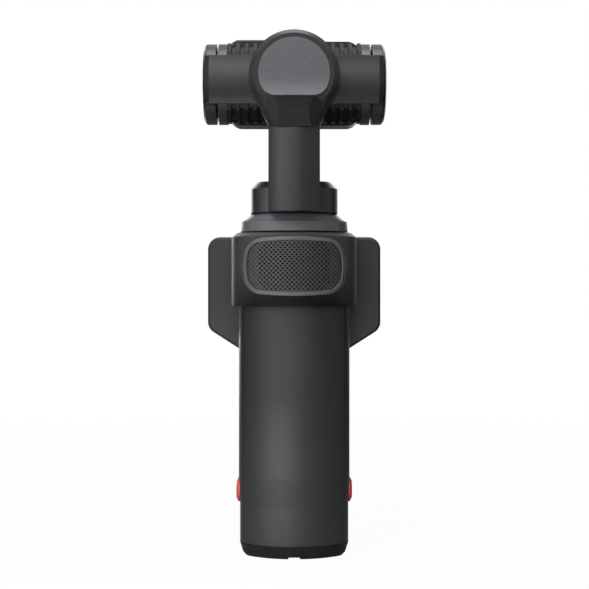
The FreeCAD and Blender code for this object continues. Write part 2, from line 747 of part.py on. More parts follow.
def grille_outline(inset, y):
    """The grille's outline drawn in by inset: bowed sides and large round corners."""
    half_w, half_h = 0.5 * GRILLE_W - inset, 0.5 * GRILLE_H - inset
    run, rise = 0.5 * GRILLE_W - GRILLE_R, 0.5 * GRILLE_H - GRILLE_R
    side_x, end_z = half_w - GRILLE_BOW_SIDE, half_h - GRILLE_BOW
    share = math.sqrt(0.5)
    corner_x, corner_z = run + share * (side_x - run), rise + share * (end_z - rise)
    places = [(half_w, 0), (side_x, rise), (corner_x, corner_z), (run, end_z), (0, half_h), (-run, end_z),
              (-corner_x, corner_z), (-side_x, rise), (-half_w, 0), (-side_x, -rise), (-corner_x, -corner_z),
              (-run, -end_z), (0, -half_h), (run, -end_z), (corner_x, -corner_z), (side_x, -rise)]
    points = [V(x, y, GRILLE_Z + z) for x, z in places]
    points += points[:2]
    arcs = [Part.Arc(*points[i:i + 3]) for i in range(1, len(points) - 2, 2)]
    return Part.Wire([arc.toShape() for arc in arcs])


def behind_ends(offset):
    """Block behind the guard's ends, as wide as the guard and its given offset."""
    half = GRIP_HALF + offset
    return box(-half, half, -GRIP_BACK.depth - offset, GUARD_END_Y, GUARD_LOW, GUARD_TOP)


def faceted_band(inset_out, inset_in):
    """Layer of the guard's back between two offsets, in flat strips across its crown."""
    rows = []
    strip = GRILLE_W / GRILLE_STRIPS
    for inset in (inset_out, inset_in):
        depth, r = GRIP_BACK.depth + inset, GRIP_BACK.crown_r + inset
        steps = [strip * (i - 0.5 * GRILLE_STRIPS) for i in range(GRILLE_STRIPS + 1)]
        rows.append([V(x, r - depth - math.sqrt(r ** 2 - x ** 2), GUARD_LOW) for x in steps])
    corners = rows[0] + rows[1][::-1]
    return Part.Face(Part.makePolygon(corners + corners[:1])).extrude(V(0, 0, GUARD_TOP - GUARD_LOW))


def grille_holes(front, depth):
    """Diamond holes in staggered rows, cut straight through the grille."""
    half = GRILLE_HOLE
    rows = int(GRILLE_FIELD_H / (0.5 * GRILLE_PITCH))
    columns = int(GRILLE_FIELD_W / GRILLE_PITCH)
    holes = []
    for row in range(rows + 1):
        z = GRILLE_Z + 0.5 * GRILLE_PITCH * (row - 0.5 * rows)
        shift = 0.5 * (row % 2)
        for column in range(columns + 1 - row % 2):
            x = GRILLE_PITCH * (column + shift - 0.5 * columns)
            corners = [V(x - half, front, z), V(x, front, z - half), V(x + half, front, z),
                       V(x, front, z + half), V(x - half, front, z)]
            holes.append(Part.Face(Part.makePolygon(corners)).extrude(V(0, depth, 0)))
    return holes


# Screen module on the front of the grip
def screen_outline(y, inset=0.0):
    """Wings at the top, slanting in to a stem below."""
    half, stem = SCREEN_HALF - inset, STEM_HALF - inset
    r, stem_r = SCREEN_R - inset, STEM_R - inset
    low, elbow = SCREEN_LOW + inset, STEM_TOP + 0.6 * inset
    corners = [(-stem, STEM_LOW + inset, stem_r), (stem, STEM_LOW + inset, stem_r), (stem, elbow, ELBOW_R),
               (half, low, r), (half, SCREEN_TOP - inset, r), (-half, SCREEN_TOP - inset, r), (-half, low, r),
               (-stem, elbow, ELBOW_R)]
    return round_polygon(corners, y)


def screen_front_y():
    """Front face of the screen module."""
    return SCREEN_Y + SCREEN_T


def glass_mid_z():
    """Height of the display's middle."""
    return 0.5 * (SCREEN_TOP + SCREEN_LOW) + GLASS_RISE


def screen_module():
    """Two shells, the display under its glass, and what lies between them."""
    seam_y = SCREEN_Y + SCREEN_BACK_T
    front_y = screen_front_y()
    back = plate(screen_outline(SCREEN_Y), SCREEN_BACK_T)
    back = back.makeChamfer(SCREEN_BEVEL, flat_edges(back, SCREEN_Y))
    back = back.cut(plate(screen_outline(SCREEN_Y + SCREEN_WALL, SCREEN_WALL), SCREEN_BACK_T))
    front = plate(screen_outline(seam_y + SEAM), front_y - seam_y - SEAM)
    front = front.makeChamfer(SCREEN_BEVEL, flat_edges(front, front_y))
    front = front.cut(plate(screen_outline(seam_y, SCREEN_WALL), front_y - SCREEN_FACE - seam_y))
    mid_z = glass_mid_z()
    recess_y = front_y - GLASS_T - FIT
    recess = plate(round_rectangle(GLASS_W + 2 * FIT, GLASS_H + 2 * FIT, GLASS_R, mid_z, recess_y), SCREEN_T)
    open_w, open_h = PANEL_W + PANEL_GAP, PANEL_H + PANEL_GAP
    opening = plate(round_rectangle(open_w, open_h, PANEL_R, mid_z, seam_y), SCREEN_T)
    record_hole = rod(RECORD_R + AIR / 2, V(0, seam_y, RECORD_Z), FORWARD, SCREEN_T)
    stick_hole = rod(STICK_HOLE_R, V(0, seam_y, STICK_Z), FORWARD, SCREEN_T)
    save("screen_back_shell", back)
    save("screen_front_shell", front.cut([recess, opening, record_hole, stick_hole]))
    save("screen_glass", plate(round_rectangle(GLASS_W, GLASS_H, GLASS_R, mid_z, front_y - GLASS_T), GLASS_T))
    panel_y = front_y - GLASS_T - FIT - PANEL_T
    save("display_panel", plate(round_rectangle(PANEL_W, PANEL_H, PANEL_R, mid_z, panel_y), PANEL_T))
    inside_y = SCREEN_Y + SCREEN_WALL + FIT
    cell_x = 0.5 * (CELL2_W - PANEL_W)
    save("screen_cell", plate(round_rectangle(CELL2_W, PANEL_H, CELL2_R, mid_z, inside_y, cell_x), CELL2_T))
    board_w = PANEL_W - CELL2_W - DISPLAY_BOARD_GAP
    board_x = 0.5 * (PANEL_W - board_w)
    low_z, high_z = mid_z - 0.5 * PANEL_H, mid_z + 0.5 * PANEL_H
    board = box(board_x - 0.5 * board_w, board_x + 0.5 * board_w, inside_y, inside_y + BOARD_T, low_z, high_z)
    half_chip = 0.5 * CHIP_SIDE
    chip = box(board_x - half_chip, board_x + half_chip, inside_y + BOARD_T, inside_y + BOARD_T + CHIP_T,
               mid_z - half_chip, mid_z + half_chip)
    save("screen_board", join(board, chip))
    save("key_board", box(-0.5 * KEY_BOARD_W, 0.5 * KEY_BOARD_W, inside_y, inside_y + 0.5 * BOARD_T,
                          RECORD_Z - KEY_BOARD_OVER, STICK_Z + KEY_BOARD_OVER))


def flat_edges(shape, y):
    """Edges of a solid that lie in the plane at y."""
    return [e for e in shape.Edges if abs(e.BoundBox.YMin - y) < 1e-6 and abs(e.BoundBox.YMax - y) < 1e-6]


def controls():
    """Record button, and the thumb stick with the ring that it tilts in."""
    front_y = screen_front_y()
    flange_y = front_y - SCREEN_FACE - AIR / 3 - KEY_FLANGE_T
    top_y = front_y + RECORD_PROUD
    flange_r, stem_y = RECORD_R + KEY_FLANGE, flange_y + KEY_FLANGE_T
    rows = [(0.0, flange_y), (flange_r, flange_y), (flange_r, stem_y), (RECORD_R, stem_y),
            (RECORD_R, top_y - CONTROL_BEVEL), (RECORD_R - CONTROL_BEVEL, top_y), (0.0, top_y)]
    save("record_button", turned(rows, V(0, 0, RECORD_Z)))
    pivot = V(0, STICK_PIVOT_Y, STICK_Z)
    ring_start = pivot - V(0, 0.5 * STICK_RING_T, 0)
    save("stick_ring", ring(STICK_BALL_R + AIR, STICK_RING_R, ring_start, FORWARD, STICK_RING_T))
    ball_half = 0.7 * STICK_BALL_R
    cap_y = STICK_PIVOT_Y + STICK_RISE
    top_y = cap_y + STICK_CAP_T
    rows = [(0.0, STICK_PIVOT_Y - ball_half), (STICK_BALL_R, STICK_PIVOT_Y - ball_half),
            (STICK_STEM_R, STICK_PIVOT_Y + ball_half), (STICK_STEM_R, cap_y), (STICK_CAP_R, cap_y),
            (STICK_CAP_R, top_y - CONTROL_BEVEL), (STICK_CAP_R - CONTROL_BEVEL, top_y),
            (0.0, top_y - CONTROL_BEVEL)]
    save("stick_cap", turned(rows, V(0, 0, STICK_Z)))


# Pan arm: hub, column, roll motor housing, its cap and its cover
def head_outline(y, radius):
    """Housing outline: a circle that tapers into the column."""
    z0 = HEAD_Z
    side_x = math.sqrt(radius ** 2 - HEAD_TAPER_Z ** 2)
    start, end = V(side_x, y, z0 - HEAD_TAPER_Z), V(-side_x, y, z0 - HEAD_TAPER_Z)
    low_x = COLUMN_HALF
    low_z = z0 - HEAD_TAPER_END
    edges = [Part.Arc(start, V(0, y, z0 + radius), end).toShape(),
             Part.LineSegment(end, V(-low_x, y, low_z)).toShape(),
             Part.LineSegment(V(-low_x, y, low_z), V(low_x, y, low_z)).toShape(),
             Part.LineSegment(V(low_x, y, low_z), start).toShape()]
    return Part.Wire(edges)


def low_edge(edge):
    """True for the straight edge where the housing runs into the column."""
    return edge.BoundBox.ZMax < HEAD_Z - HEAD_TAPER_END + 0.01


def column_outline(z):
    """Flat front, short sides and a rounded back."""
    points = [V(-COLUMN_HALF, -COLUMN_FRONT, z), V(COLUMN_HALF, -COLUMN_FRONT, z),
              V(COLUMN_HALF, -COLUMN_SIDE, z), V(-COLUMN_HALF, -COLUMN_SIDE, z)]
    edges = [Part.LineSegment(points[0], points[1]), Part.LineSegment(points[1], points[2]),
             Part.Arc(points[2], V(0, -COLUMN_BACK, z), points[3]), Part.LineSegment(points[3], points[0])]
    return Part.Wire([e.toShape() for e in edges])


def pan_arm():
    """Hub, column and roll motor housing in one casting, with the roll bearing and stator."""
    hub = crowned_prism(HUB_HALF, HUB_BACK, HUB_FRONT, HUB_LOW, HUB_TOP)
    top = [e for e in hub.Edges if e.BoundBox.ZMin > HUB_TOP - 1e-6]
    hub = hub.makeChamfer(HUB_CHAMFER, top)
    column = Part.Face(column_outline(HUB_LOW)).extrude(V(0, 0, HEAD_Z - HEAD_TAPER_Z - HUB_LOW))
    bridge = box(-COLUMN_HALF, COLUMN_HALF, -COLUMN_FRONT, -BRIDGE_FRONT, HUB_LOW, HUB_TOP)
    rim_y = -HEAD_BACK
    drum = Part.Face(head_outline(-COLUMN_FRONT, HEAD_R)).extrude(V(0, rim_y + COLUMN_FRONT, 0))
    drum = drum.makeChamfer(HEAD_BACK - HEAD_SIDE, [e for e in flat_edges(drum, rim_y) if not low_edge(e)])
    floor_y = -HEAD_BACK + HEAD_FLOOR
    mouth = HEAD + V(0, -COLUMN_FRONT, 0)
    pocket = rod(HEAD_POCKET_R, mouth, BACKWARD, -COLUMN_FRONT - floor_y)
    tube_y = head_tube_y()
    tube = ring(BEARING_OUT_R + FIT / 2, TUBE_R, HEAD + V(0, -tube_y, 0), BACKWARD, -tube_y - floor_y)
    bore = rod(SHAFT_R + AIR / 2, mouth, BACKWARD, HEAD_BACK - COLUMN_FRONT)
    shaft_seat = rod(SHAFT_R + FIT, V(0, 0, HUB_LOW), UP, HUB_SEAT + FIT)
    body = join(hub, column, bridge, column_foot(), drum).cut(pocket)
    save("pan_arm", join(body, tube).cut([bore, shaft_seat]))
    stator_y = tube_y + AIR / 3
    start = HEAD + V(0, -stator_y, 0)
    save("roll_bearing", bearing(start, BACKWARD, SHAFT_R + RUN, BEARING_OUT_R, BEARING_W))
    save("roll_stator", stator(start, BACKWARD, -stator_y - floor_y - AIR, TUBE_R + FIT / 2, STATOR_OUT_R))


def head_tube_y():
    """How far back the roll motor's bearing tube starts."""
    return YOKE_BACK + ROTOR_WEB + AIR


def column_foot():
    """Hollow curve between the hub's top and the column's front."""
    r = COLUMN_FILLET
    y, z = -COLUMN_FRONT - 0.2, HUB_TOP - 0.2
    reach = r + 0.2
    block = box(-COLUMN_HALF, COLUMN_HALF, y, y + reach, z, z + reach)
    return block.cut(rod(r, V(-COLUMN_HALF - 1, y + reach, z + reach), V(1, 0, 0), 2 * COLUMN_HALF + 2))


def cap_outline(y):
    """Round at the top, narrowing to a rounded chin."""
    z0 = HEAD_Z
    side_x = math.sqrt(CAP_R ** 2 - CAP_JOIN_Z ** 2)
    right = [V(side_x, y, z0 - CAP_JOIN_Z), V(CAP_JAW_HALF, y, z0 - CAP_JAW_Z),
             V(0.5 * (CAP_JAW_HALF + CAP_CHIN_HALF) + CAP_CHIN_BULGE, y,
               z0 - 0.5 * (CAP_JAW_Z + CAP_CHIN_Z) - CAP_CHIN_BULGE),
             V(CAP_CHIN_HALF, y, z0 - CAP_CHIN_Z)]
    left = [V(-p.x, p.y, p.z) for p in right]
    edges = [Part.Arc(left[0], V(0, y, z0 + CAP_R), right[0]), Part.LineSegment(right[0], right[1]),
             Part.Arc(right[1], right[2], right[3]),
             Part.Arc(right[3], V(0, y, z0 - CAP_LOW_Z), left[3]),
             Part.Arc(left[3], left[2], left[1]), Part.LineSegment(left[1], left[0])]
    return Part.Wire([e.toShape() for e in edges])


def roll_cap():
    """Motor cap with a faceted chin, and the flat cover on it."""
    back_y = -CAP_BACK
    chord_z, mid_z, low_z = HEAD_Z - COVER_CHORD, HEAD_Z - FACET_MID_Z, HEAD_Z - CAP_LOW_Z
    mid_y = back_y + FACET_MID_DEPTH
    low_y = mid_y + FACET_LOW_DEPTH
    cap = Part.Face(cap_outline(-HEAD_BACK)).extrude(V(0, back_y + HEAD_BACK, 0))
    wedge = [V(-CAP_R, back_y - COVER_T, chord_z), V(-CAP_R, back_y, chord_z), V(-CAP_R, mid_y, mid_z),
             V(-CAP_R, low_y, low_z), V(-CAP_R, back_y - COVER_T, low_z)]
    cutters = [Part.Face(Part.makePolygon(wedge + wedge[:1])).extrude(V(2 * CAP_R, 0, 0))]
    for side in (-1, 1):
        top_x, x, low_x, far_x = (side * half for half in (FLANK_TOP_HALF, FLANK_HALF, FLANK_LOW_HALF, CAP_R))
        cutters.append(flank(V(top_x, back_y, chord_z), V(x, mid_y, mid_z),
                             V(far_x, mid_y + FLANK_DROP, mid_z), V(far_x, back_y, chord_z)))
        cutters.append(flank(V(x, mid_y, mid_z), V(low_x, low_y, low_z),
                             V(far_x, low_y + FLANK_DROP, low_z), V(far_x, mid_y + FLANK_DROP, mid_z)))
    save("roll_cap", cap.cut(cutters))
    cover = rod(COVER_R, HEAD + V(0, back_y, 0), BACKWARD, COVER_T)
    chord = box(-COVER_R, COVER_R, back_y - COVER_T, back_y, HEAD_Z - COVER_R, chord_z)
    save("roll_cover", cover.cut(chord))


def flank(inner_high, inner_low, outer_low, outer_high):
    """Cutter over one side face of the chin: the solid from that face back past the cap."""
    rows = [inner_high, inner_low, outer_low, outer_high]
    back_rows = [V(p.x, -CAP_BACK - COVER_T, p.z) for p in rows]
    front = [Part.makePolygon([rows[i] for i in order]) for order in ((0, 1, 2, 0), (0, 2, 3, 0))]
    back = [Part.makePolygon(back_rows + back_rows[:1])]
    sides = []
    for i, point in enumerate(rows):
        j = (i + 1) % len(rows)
        corners = [point, rows[j], back_rows[j], back_rows[i], point]
        sides.append(Part.makePolygon(corners))
    shell = Part.Shell([Part.Face(wire) for wire in front + back + sides])
    solid = Part.Solid(shell)
    return solid if solid.Volume > 0 else solid.reversed()


# Yoke: plate, disc and two arms, with the roll shaft behind and the tilt bearings at the ends
def yoke():
    """Crowned back plate with a round flange and two arms, and the shaft and bearings that it holds."""
    front_y = -YOKE_BACK + YOKE_PLATE_T
    low, high = HEAD_Z - YOKE_DOWN, HEAD_Z + YOKE_UP
    crown = rod(YOKE_CROWN_R, V(-ARM_OUT, YOKE_CROWN_R - YOKE_BACK, HEAD_Z), V(1, 0, 0), 2 * ARM_OUT)
    ends = [e for e in crown.Edges if e.BoundBox.XMax - e.BoundBox.XMin < 1e-6]
    crown = crown.makeChamfer(YOKE_CORNER, ends)
    span = box(-ARM_OUT, ARM_OUT, -YOKE_BACK, front_y, low, high)
    bars = [box(min(x, side * ARM_OUT), max(x, side * ARM_OUT), -YOKE_BACK, 0, low, high)
            for side, x in ((-1, -ARM_IN), (1, ARM_IN))]
    discs = [rod(ARM_DISC_R, HEAD + V(x, 0, 0), V(1, 0, 0), ARM_T) for x in (-ARM_OUT, ARM_IN)]
    flange = rod(YOKE_DISC_R, HEAD + V(0, front_y, 0), BACKWARD, YOKE_PLATE_T)
    body = join(span, *bars).common(crown)
    body = join(body, blend_plate(front_y), flange, *discs)
    cuts = [rod(SHAFT_R + FIT, HEAD + V(0, front_y, 0), BACKWARD, YOKE_PLATE_T)]
    for side in (-1, 1):
        out = V(side, 0, 0)
        cuts.append(rod(TILT_POCKET_R, HEAD + out * ARM_IN, out, ARM_T - TILT_FLOOR))
        cuts.append(rod(TILT_BEARING_R + FIT / 2, HEAD + out * ARM_IN, out, ARM_T))
    save("yoke_frame", body.cut(cuts))
    shaft_end = HEAD_BACK - 2 * FIT
    save("roll_shaft", ring(SHAFT_BORE_R, SHAFT_R, HEAD + V(0, front_y, 0), BACKWARD, shaft_end + front_y))
    web_y = YOKE_BACK + FIT
    rotor_depth = HEAD_BACK - HEAD_FLOOR - AIR - web_y
    save("roll_rotor", rotor(HEAD + V(0, -web_y, 0), BACKWARD, rotor_depth, SHAFT_R + FIT, ROTOR_IN_R,
                             ROTOR_OUT_R))
    for name, side in (("left", -1), ("right", 1)):
        save(f"yoke_cover_{name}", end_cover(side))
    save("tilt_bearings", group([tilt_bearing(side) for side in (-1, 1)]))
    floor_x = ARM_OUT - TILT_FLOOR - FIT
    length = floor_x - tilt_web_x() - ROTOR_WEB - AIR
    save("tilt_stator", stator(HEAD + V(-floor_x, 0, 0), V(1, 0, 0), length, TILT_STATOR_IN_R,
                               TILT_STATOR_OUT_R))


def blend_plate(front_y):
    """Web under the yoke's plate whose hollow ends run from its lower edge into the round flange."""
    centre_z = -YOKE_DOWN - YOKE_BLEND_R
    reach = YOKE_DISC_R + YOKE_BLEND_R
    centre_x = math.sqrt(reach ** 2 - centre_z ** 2)
    low_z = centre_z * YOKE_DISC_R / reach
    edge_y = YOKE_CROWN_R - YOKE_BACK - math.sqrt(YOKE_CROWN_R ** 2 - YOKE_DOWN ** 2)
    block = box(-centre_x, centre_x, edge_y, front_y, HEAD_Z + low_z, HEAD_Z - YOKE_DOWN + SEAM)
    hollows = [rod(YOKE_BLEND_R, HEAD + V(x, edge_y, centre_z), FORWARD, YOKE_PLATE_T)
               for x in (-centre_x, centre_x)]
    return block.cut(hollows)


def end_cover(side):
    """Round motor cover on the outside of a yoke arm, its outer edge rounded in two bevels."""
    near = ARM_OUT + COVER_SEAM
    far = near + END_COVER_T
    rows = [(0.0, near), (END_COVER_R, near), (END_COVER_R, near + 0.15 * END_COVER_T),
            (END_COVER_R - 0.35 * END_COVER_BEVEL, near + 0.7 * END_COVER_T),
            (END_COVER_R - END_COVER_BEVEL, far), (0.0, far)]
    points = [HEAD + V(side * x, 0, radius) for radius, x in rows]
    return Part.Face(Part.makePolygon(points + points[:1])).revolve(HEAD, V(1, 0, 0), 360)


def tilt_web_x():
    """Inner face of the tilt rotor's web, measured from the middle."""
    return SIDE_HUB_OUT + FIT


def tilt_bearing(side):
    """Bearing in the end wall of a yoke arm."""
    start = HEAD + V(side * (ARM_OUT - TILT_BEARING_W), 0, 0)
    return bearing(start, V(side, 0, 0), TILT_SHAFT_R + RUN, TILT_BEARING_R, TILT_BEARING_W)


# Camera module
def cooling_body(inset, x0, x1, front_y):
    """Eight-sided cooling body that clears the yoke as it tilts, drawn in by inset."""
    half = FIN_R - inset
    flat, slope = FIN_FLAT - 0.41 * inset, FIN_SLOPE
    points = [(front_y, half), (-flat, half), (-half * slope, half * slope), (-half, flat), (-half, -flat),
              (-half * slope, -half * slope), (-flat, -half), (front_y, -half)]
    corners = [V(x0, y, HEAD_Z + z) for y, z in points]
    return Part.Face(Part.makePolygon(corners + corners[:1])).extrude(V(x1 - x0, 0, 0))


def camera_back():
    """Finned cooling body with a plain rim where it meets the front shell."""
    core = cooling_body(FIN_DEPTH, -MODULE_HALF, MODULE_HALF, SHELL_Y)
    inner_half = MODULE_HALF - MODULE_WALL
    inner = cooling_body(FIN_DEPTH + MODULE_WALL, -inner_half, inner_half, SHELL_Y)
    fins = []
    for i in range(FIN_COUNT):
        x = -MODULE_HALF + FIN_PITCH * i
        fins.append(cooling_body(0.0, x, x + FIN_T, RIM_Y))
    rim = plate(module_outline(RIM_Y), SHELL_Y - RIM_Y)
    save("camera_back_shell", join(core, rim, *fins).cut(inner))


def module_outline(y, inset=0.0):
    """Round-cornered outline of the camera body."""
    half, up, down = MODULE_HALF - inset, HEAD_Z + FRONT_UP - inset, HEAD_Z - FRONT_DOWN + inset
    corners = [(-half, down), (half, down), (half, up), (-half, up)]
    return round_polygon([(x, z, MODULE_R - inset) for x, z in corners], y)


def camera_front():
    """Front shell, the raised strip on its top, the two lenses and the board behind them."""
    y0 = SHELL_Y + SEAM
    outer = plate(module_outline(y0), FRONT_Y - y0)
    outer = outer.makeChamfer(FRONT_BEVEL, flat_edges(outer, FRONT_Y))
    top_z = HEAD_Z + FRONT_UP
    half = 0.5 * HUMP_W
    corners = [V(HUMP_X - half, y0, top_z - MODULE_WALL), V(HUMP_X + half, y0, top_z - MODULE_WALL),
               V(HUMP_X + half, y0, top_z), V(HUMP_X + half - HUMP_RISE, y0, top_z + HUMP_RISE),
               V(HUMP_X - half + 2 * HUMP_RISE, y0, top_z + HUMP_RISE), V(HUMP_X - half, y0, top_z)]
    hump = Part.Face(Part.makePolygon(corners + corners[:1])).extrude(V(0, FRONT_Y - FRONT_BEVEL - y0, 0))
    inner = plate(module_outline(y0, MODULE_WALL), FRONT_Y - MODULE_WALL - y0)
    mouths = [rod(lens.ring_r - LENS_LIP, HEAD + V(lens.x, 0, 0), FORWARD, FRONT_Y) for lens in LENSES]
    save("camera_front_shell", join(outer, hump).cut([inner] + mouths))
    for lens in LENSES:
        lens_parts(lens)
    half_w, half_h = MODULE_HALF - MODULE_WALL - FIT, FRONT_DOWN - MODULE_R
    board_y = SHELL_Y + SENSOR_GAP
    board = box(-half_w, half_w, board_y, board_y + SENSOR_BOARD_T, HEAD_Z - half_h, HEAD_Z + half_h)
    front_y = board_y + SENSOR_BOARD_T
    sensors = [box(lens.x - 0.5 * SENSOR_W, lens.x + 0.5 * SENSOR_W, front_y, front_y + SENSOR_T,
                   HEAD_Z - 0.5 * SENSOR_H, HEAD_Z + 0.5 * SENSOR_H) for lens in LENSES]
    save("sensor_board", join(board, *sensors))


def lens_parts(lens):
    """Front ring, barrel and glass of one lens."""
    centre = HEAD + V(lens.x, 0, 0)
    base_y = FRONT_Y + FIT
    mouth_r, top_y = lens.glass_r + LENS_MOUTH, FRONT_Y + lens.reach
    seat_y = top_y - GLASS_SINK
    rows = [(mouth_r, base_y), (lens.ring_r, base_y), (lens.ring_r, top_y - LENS_BEVEL),
            (lens.ring_r - LENS_BEVEL, top_y), (mouth_r, top_y - LENS_BEVEL)]
    save(f"{lens.name}_lens_ring", turned(rows, centre))
    sensor_y = SHELL_Y + SENSOR_GAP + SENSOR_BOARD_T + SENSOR_T + AIR
    stop_r = lens.glass_r - LENS_STOP
    tube_r = lens.ring_r - LENS_LIP - FIT
    barrel = ring(stop_r, tube_r, centre + V(0, sensor_y, 0), FORWARD, FRONT_Y - sensor_y)
    nose = ring(stop_r, mouth_r - FIT, centre + V(0, FRONT_Y, 0), FORWARD, seat_y - FRONT_Y)
    save(f"{lens.name}_lens_barrel", join(barrel, nose))
    glass_y = seat_y + FIT
    edge_y = glass_y + 0.5 * LENS_GLASS_T
    rows = [(0.0, glass_y), (lens.glass_r, glass_y), (lens.glass_r, edge_y), (0.0, glass_y + LENS_GLASS_T)]
    glass = turned(rows, centre)
    save(f"{lens.name}_lens_glass", glass)


def turned(rows, centre):
    """Turn a closed profile of (radius, y) rows about the Y axis through centre."""
    points = [V(centre.x + radius, y, centre.z) for radius, y in rows]
    face = Part.Face(Part.makePolygon(points + points[:1]))
    return face.revolve(V(centre.x, 0, centre.z), FORWARD, 360)


def side_hubs():
    """Round hubs on the camera's sides with their shafts, and the tilt rotor on the left one."""
    for name, side in (("left", -1), ("right", 1)):
        out = V(side, 0, 0)
        hub = rod(SIDE_HUB_R, HEAD + out * SIDE_HUB_IN, out, SIDE_HUB_T)
        shaft = rod(TILT_SHAFT_R, HEAD + out * SIDE_HUB_OUT, out, ARM_OUT - SIDE_HUB_OUT - FIT)
        save(f"tilt_hub_{name}", join(hub, shaft))
    start = HEAD + V(-tilt_web_x(), 0, 0)
    depth = ARM_OUT - TILT_FLOOR - AIR - tilt_web_x()
    bell = rotor(start, V(-1, 0, 0), depth, TILT_SHAFT_R + FIT, TILT_ROTOR_IN_R, TILT_ROTOR_OUT_R)
    save("tilt_rotor", bell)


def dock_contacts():
    """Contact block in the grip's front, with square sprung pins that touch the screen module."""
    low_y = SLEEVE_FRONT.depth + AIR / 2
    block = box(-0.5 * DOCK_W, 0.5 * DOCK_W, low_y, GRIP_FRONT.depth - DOCK_SINK, DOCK_Z - 0.5 * DOCK_H,
                DOCK_Z + 0.5 * DOCK_H)
    pitch = DOCK_W / (DOCK_PINS + 1)
    pins = []
    for i in range(DOCK_PINS):
        x = pitch * (i - 0.5 * (DOCK_PINS - 1))
        pins.append(box(x - DOCK_PIN_HALF, x + DOCK_PIN_HALF, low_y + DOCK_SINK, SCREEN_Y - FIT,
                        DOCK_Z - DOCK_PIN_HALF, DOCK_Z + DOCK_PIN_HALF))
    save("dock_contacts", join(block, *pins))


def main_board():
    """Main board above the battery sleeve with its three largest chips."""
    board = box(-BOARD_HALF, BOARD_HALF, BOARD_Y, BOARD_Y + BOARD_T, board_low(), BOARD_TOP)
    face_y = BOARD_Y + BOARD_T
    chips = []
    for chip in BOARD_CHIPS:
        z = SLEEVE_TOP + chip.up
        chips.append(box(chip.x - 0.5 * chip.width, chip.x + 0.5 * chip.width, face_y, face_y + chip.rise,
                         z - 0.5 * chip.height, z + 0.5 * chip.height))
    save("main_board", join(board, *chips))


grip_shells()
base_parts()
battery_sleeve()
release_buttons()
dock_contacts()
main_board()
neck()
wind_guard()
screen_module()
controls()
pan_arm()
roll_cap()
yoke()
camera_back()
camera_front()
side_hubs()
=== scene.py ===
"""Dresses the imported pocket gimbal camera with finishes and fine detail, and sets up its studio.

The frame is in metres, with the origin at the mouth of the tripod thread, +Z up and the lenses
looking along +Y. Sizes of pieces are written in millimetres and scaled once, in MeshPen.
"""

import json
import logging
import math
from dataclasses import dataclass, field
from enum import Enum
from typing import Iterable, Sequence

import bpy
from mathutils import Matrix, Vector

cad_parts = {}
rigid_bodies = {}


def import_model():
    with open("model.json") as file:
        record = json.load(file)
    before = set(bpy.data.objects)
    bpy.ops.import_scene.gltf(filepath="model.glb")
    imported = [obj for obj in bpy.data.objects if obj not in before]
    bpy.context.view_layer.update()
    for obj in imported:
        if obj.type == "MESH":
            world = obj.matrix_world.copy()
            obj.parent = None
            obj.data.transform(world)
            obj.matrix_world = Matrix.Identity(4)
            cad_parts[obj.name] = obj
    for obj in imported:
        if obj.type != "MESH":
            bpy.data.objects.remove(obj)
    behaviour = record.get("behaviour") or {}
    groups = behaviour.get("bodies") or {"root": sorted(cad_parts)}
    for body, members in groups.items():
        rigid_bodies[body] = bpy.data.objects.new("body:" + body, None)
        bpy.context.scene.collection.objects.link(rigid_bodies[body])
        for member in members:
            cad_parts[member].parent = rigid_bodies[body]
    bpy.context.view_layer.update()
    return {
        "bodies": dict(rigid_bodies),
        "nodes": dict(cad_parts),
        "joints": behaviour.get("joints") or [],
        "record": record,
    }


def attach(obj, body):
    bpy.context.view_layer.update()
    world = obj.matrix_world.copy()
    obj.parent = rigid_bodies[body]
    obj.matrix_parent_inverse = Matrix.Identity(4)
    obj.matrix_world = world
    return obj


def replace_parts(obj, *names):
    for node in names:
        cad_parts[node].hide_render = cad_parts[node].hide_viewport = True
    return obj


MM = 0.001
# A wave texture of scale 1 repeats every tau / 20 units.
WAVE_FACTOR = 20.0
LOG = logging.getLogger("gimbal_camera")

Point = tuple[float, float, float]
Flat = tuple[float, float]


class Body(Enum):
    """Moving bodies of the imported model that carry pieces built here."""

    HANDLE = "handle"
    BATTERY = "battery"
    WIND_GUARD = "wind_guard"
    ARM = "arm"
    CAMERA = "camera"


class Grain(Enum):
    """Surface left by the mould or the tool: pitch and depth of its texture in millimetres."""

    SPARK_ERODED = (0.11, 0.010)
    SATIN = (0.05, 0.004)
    BLASTED = (0.07, 0.006)
    POLISHED = (0.30, 0.0005)


def linear(code: str) -> tuple[float, float, float, float]:
    """Convert an sRGB colour to the linear values that a shader takes.

    Args:
        code: Six hexadecimal digits, as in "3C3D40".

    Returns:
        Linear red, green and blue with full alpha.
    """
    values = []
    for start in (0, 2, 4):
        share = int(code[start:start + 2], 16) / 255.0
        low = share <= 0.04045
        values.append(share / 12.92 if low else ((share + 0.055) / 1.055) ** 2.4)
    return values[0], values[1], values[2], 1.0


def add(tree: bpy.types.NodeTree, kind: str, **values: object) -> bpy.types.Node:
    """Add one node and set its sockets, or link other nodes' outputs to them.

    Args:
        tree: Node tree that takes the node.
        kind: Node type without the leading "ShaderNode".
        **values: Socket name, with underscores for spaces, and its value or an output socket.

    Returns:
        The new node.
    """
    node = tree.nodes.new("ShaderNode" + kind)
    for name, value in values.items():
        socket = node.inputs[name.replace("_", " ")]
        if isinstance(value, bpy.types.NodeSocket):
            tree.links.new(value, socket)
        else:
            socket.default_value = value
    return node


def bare_material(name: str) -> tuple[bpy.types.Material, bpy.types.NodeTree]:
    """Make a material with an empty node tree.

    Args:
        name: Name of the material.

    Returns:
        The material and its tree.
    """
    material = bpy.data.materials.new(name)
    material.use_nodes = True
    material.node_tree.nodes.clear()
    return material, material.node_tree


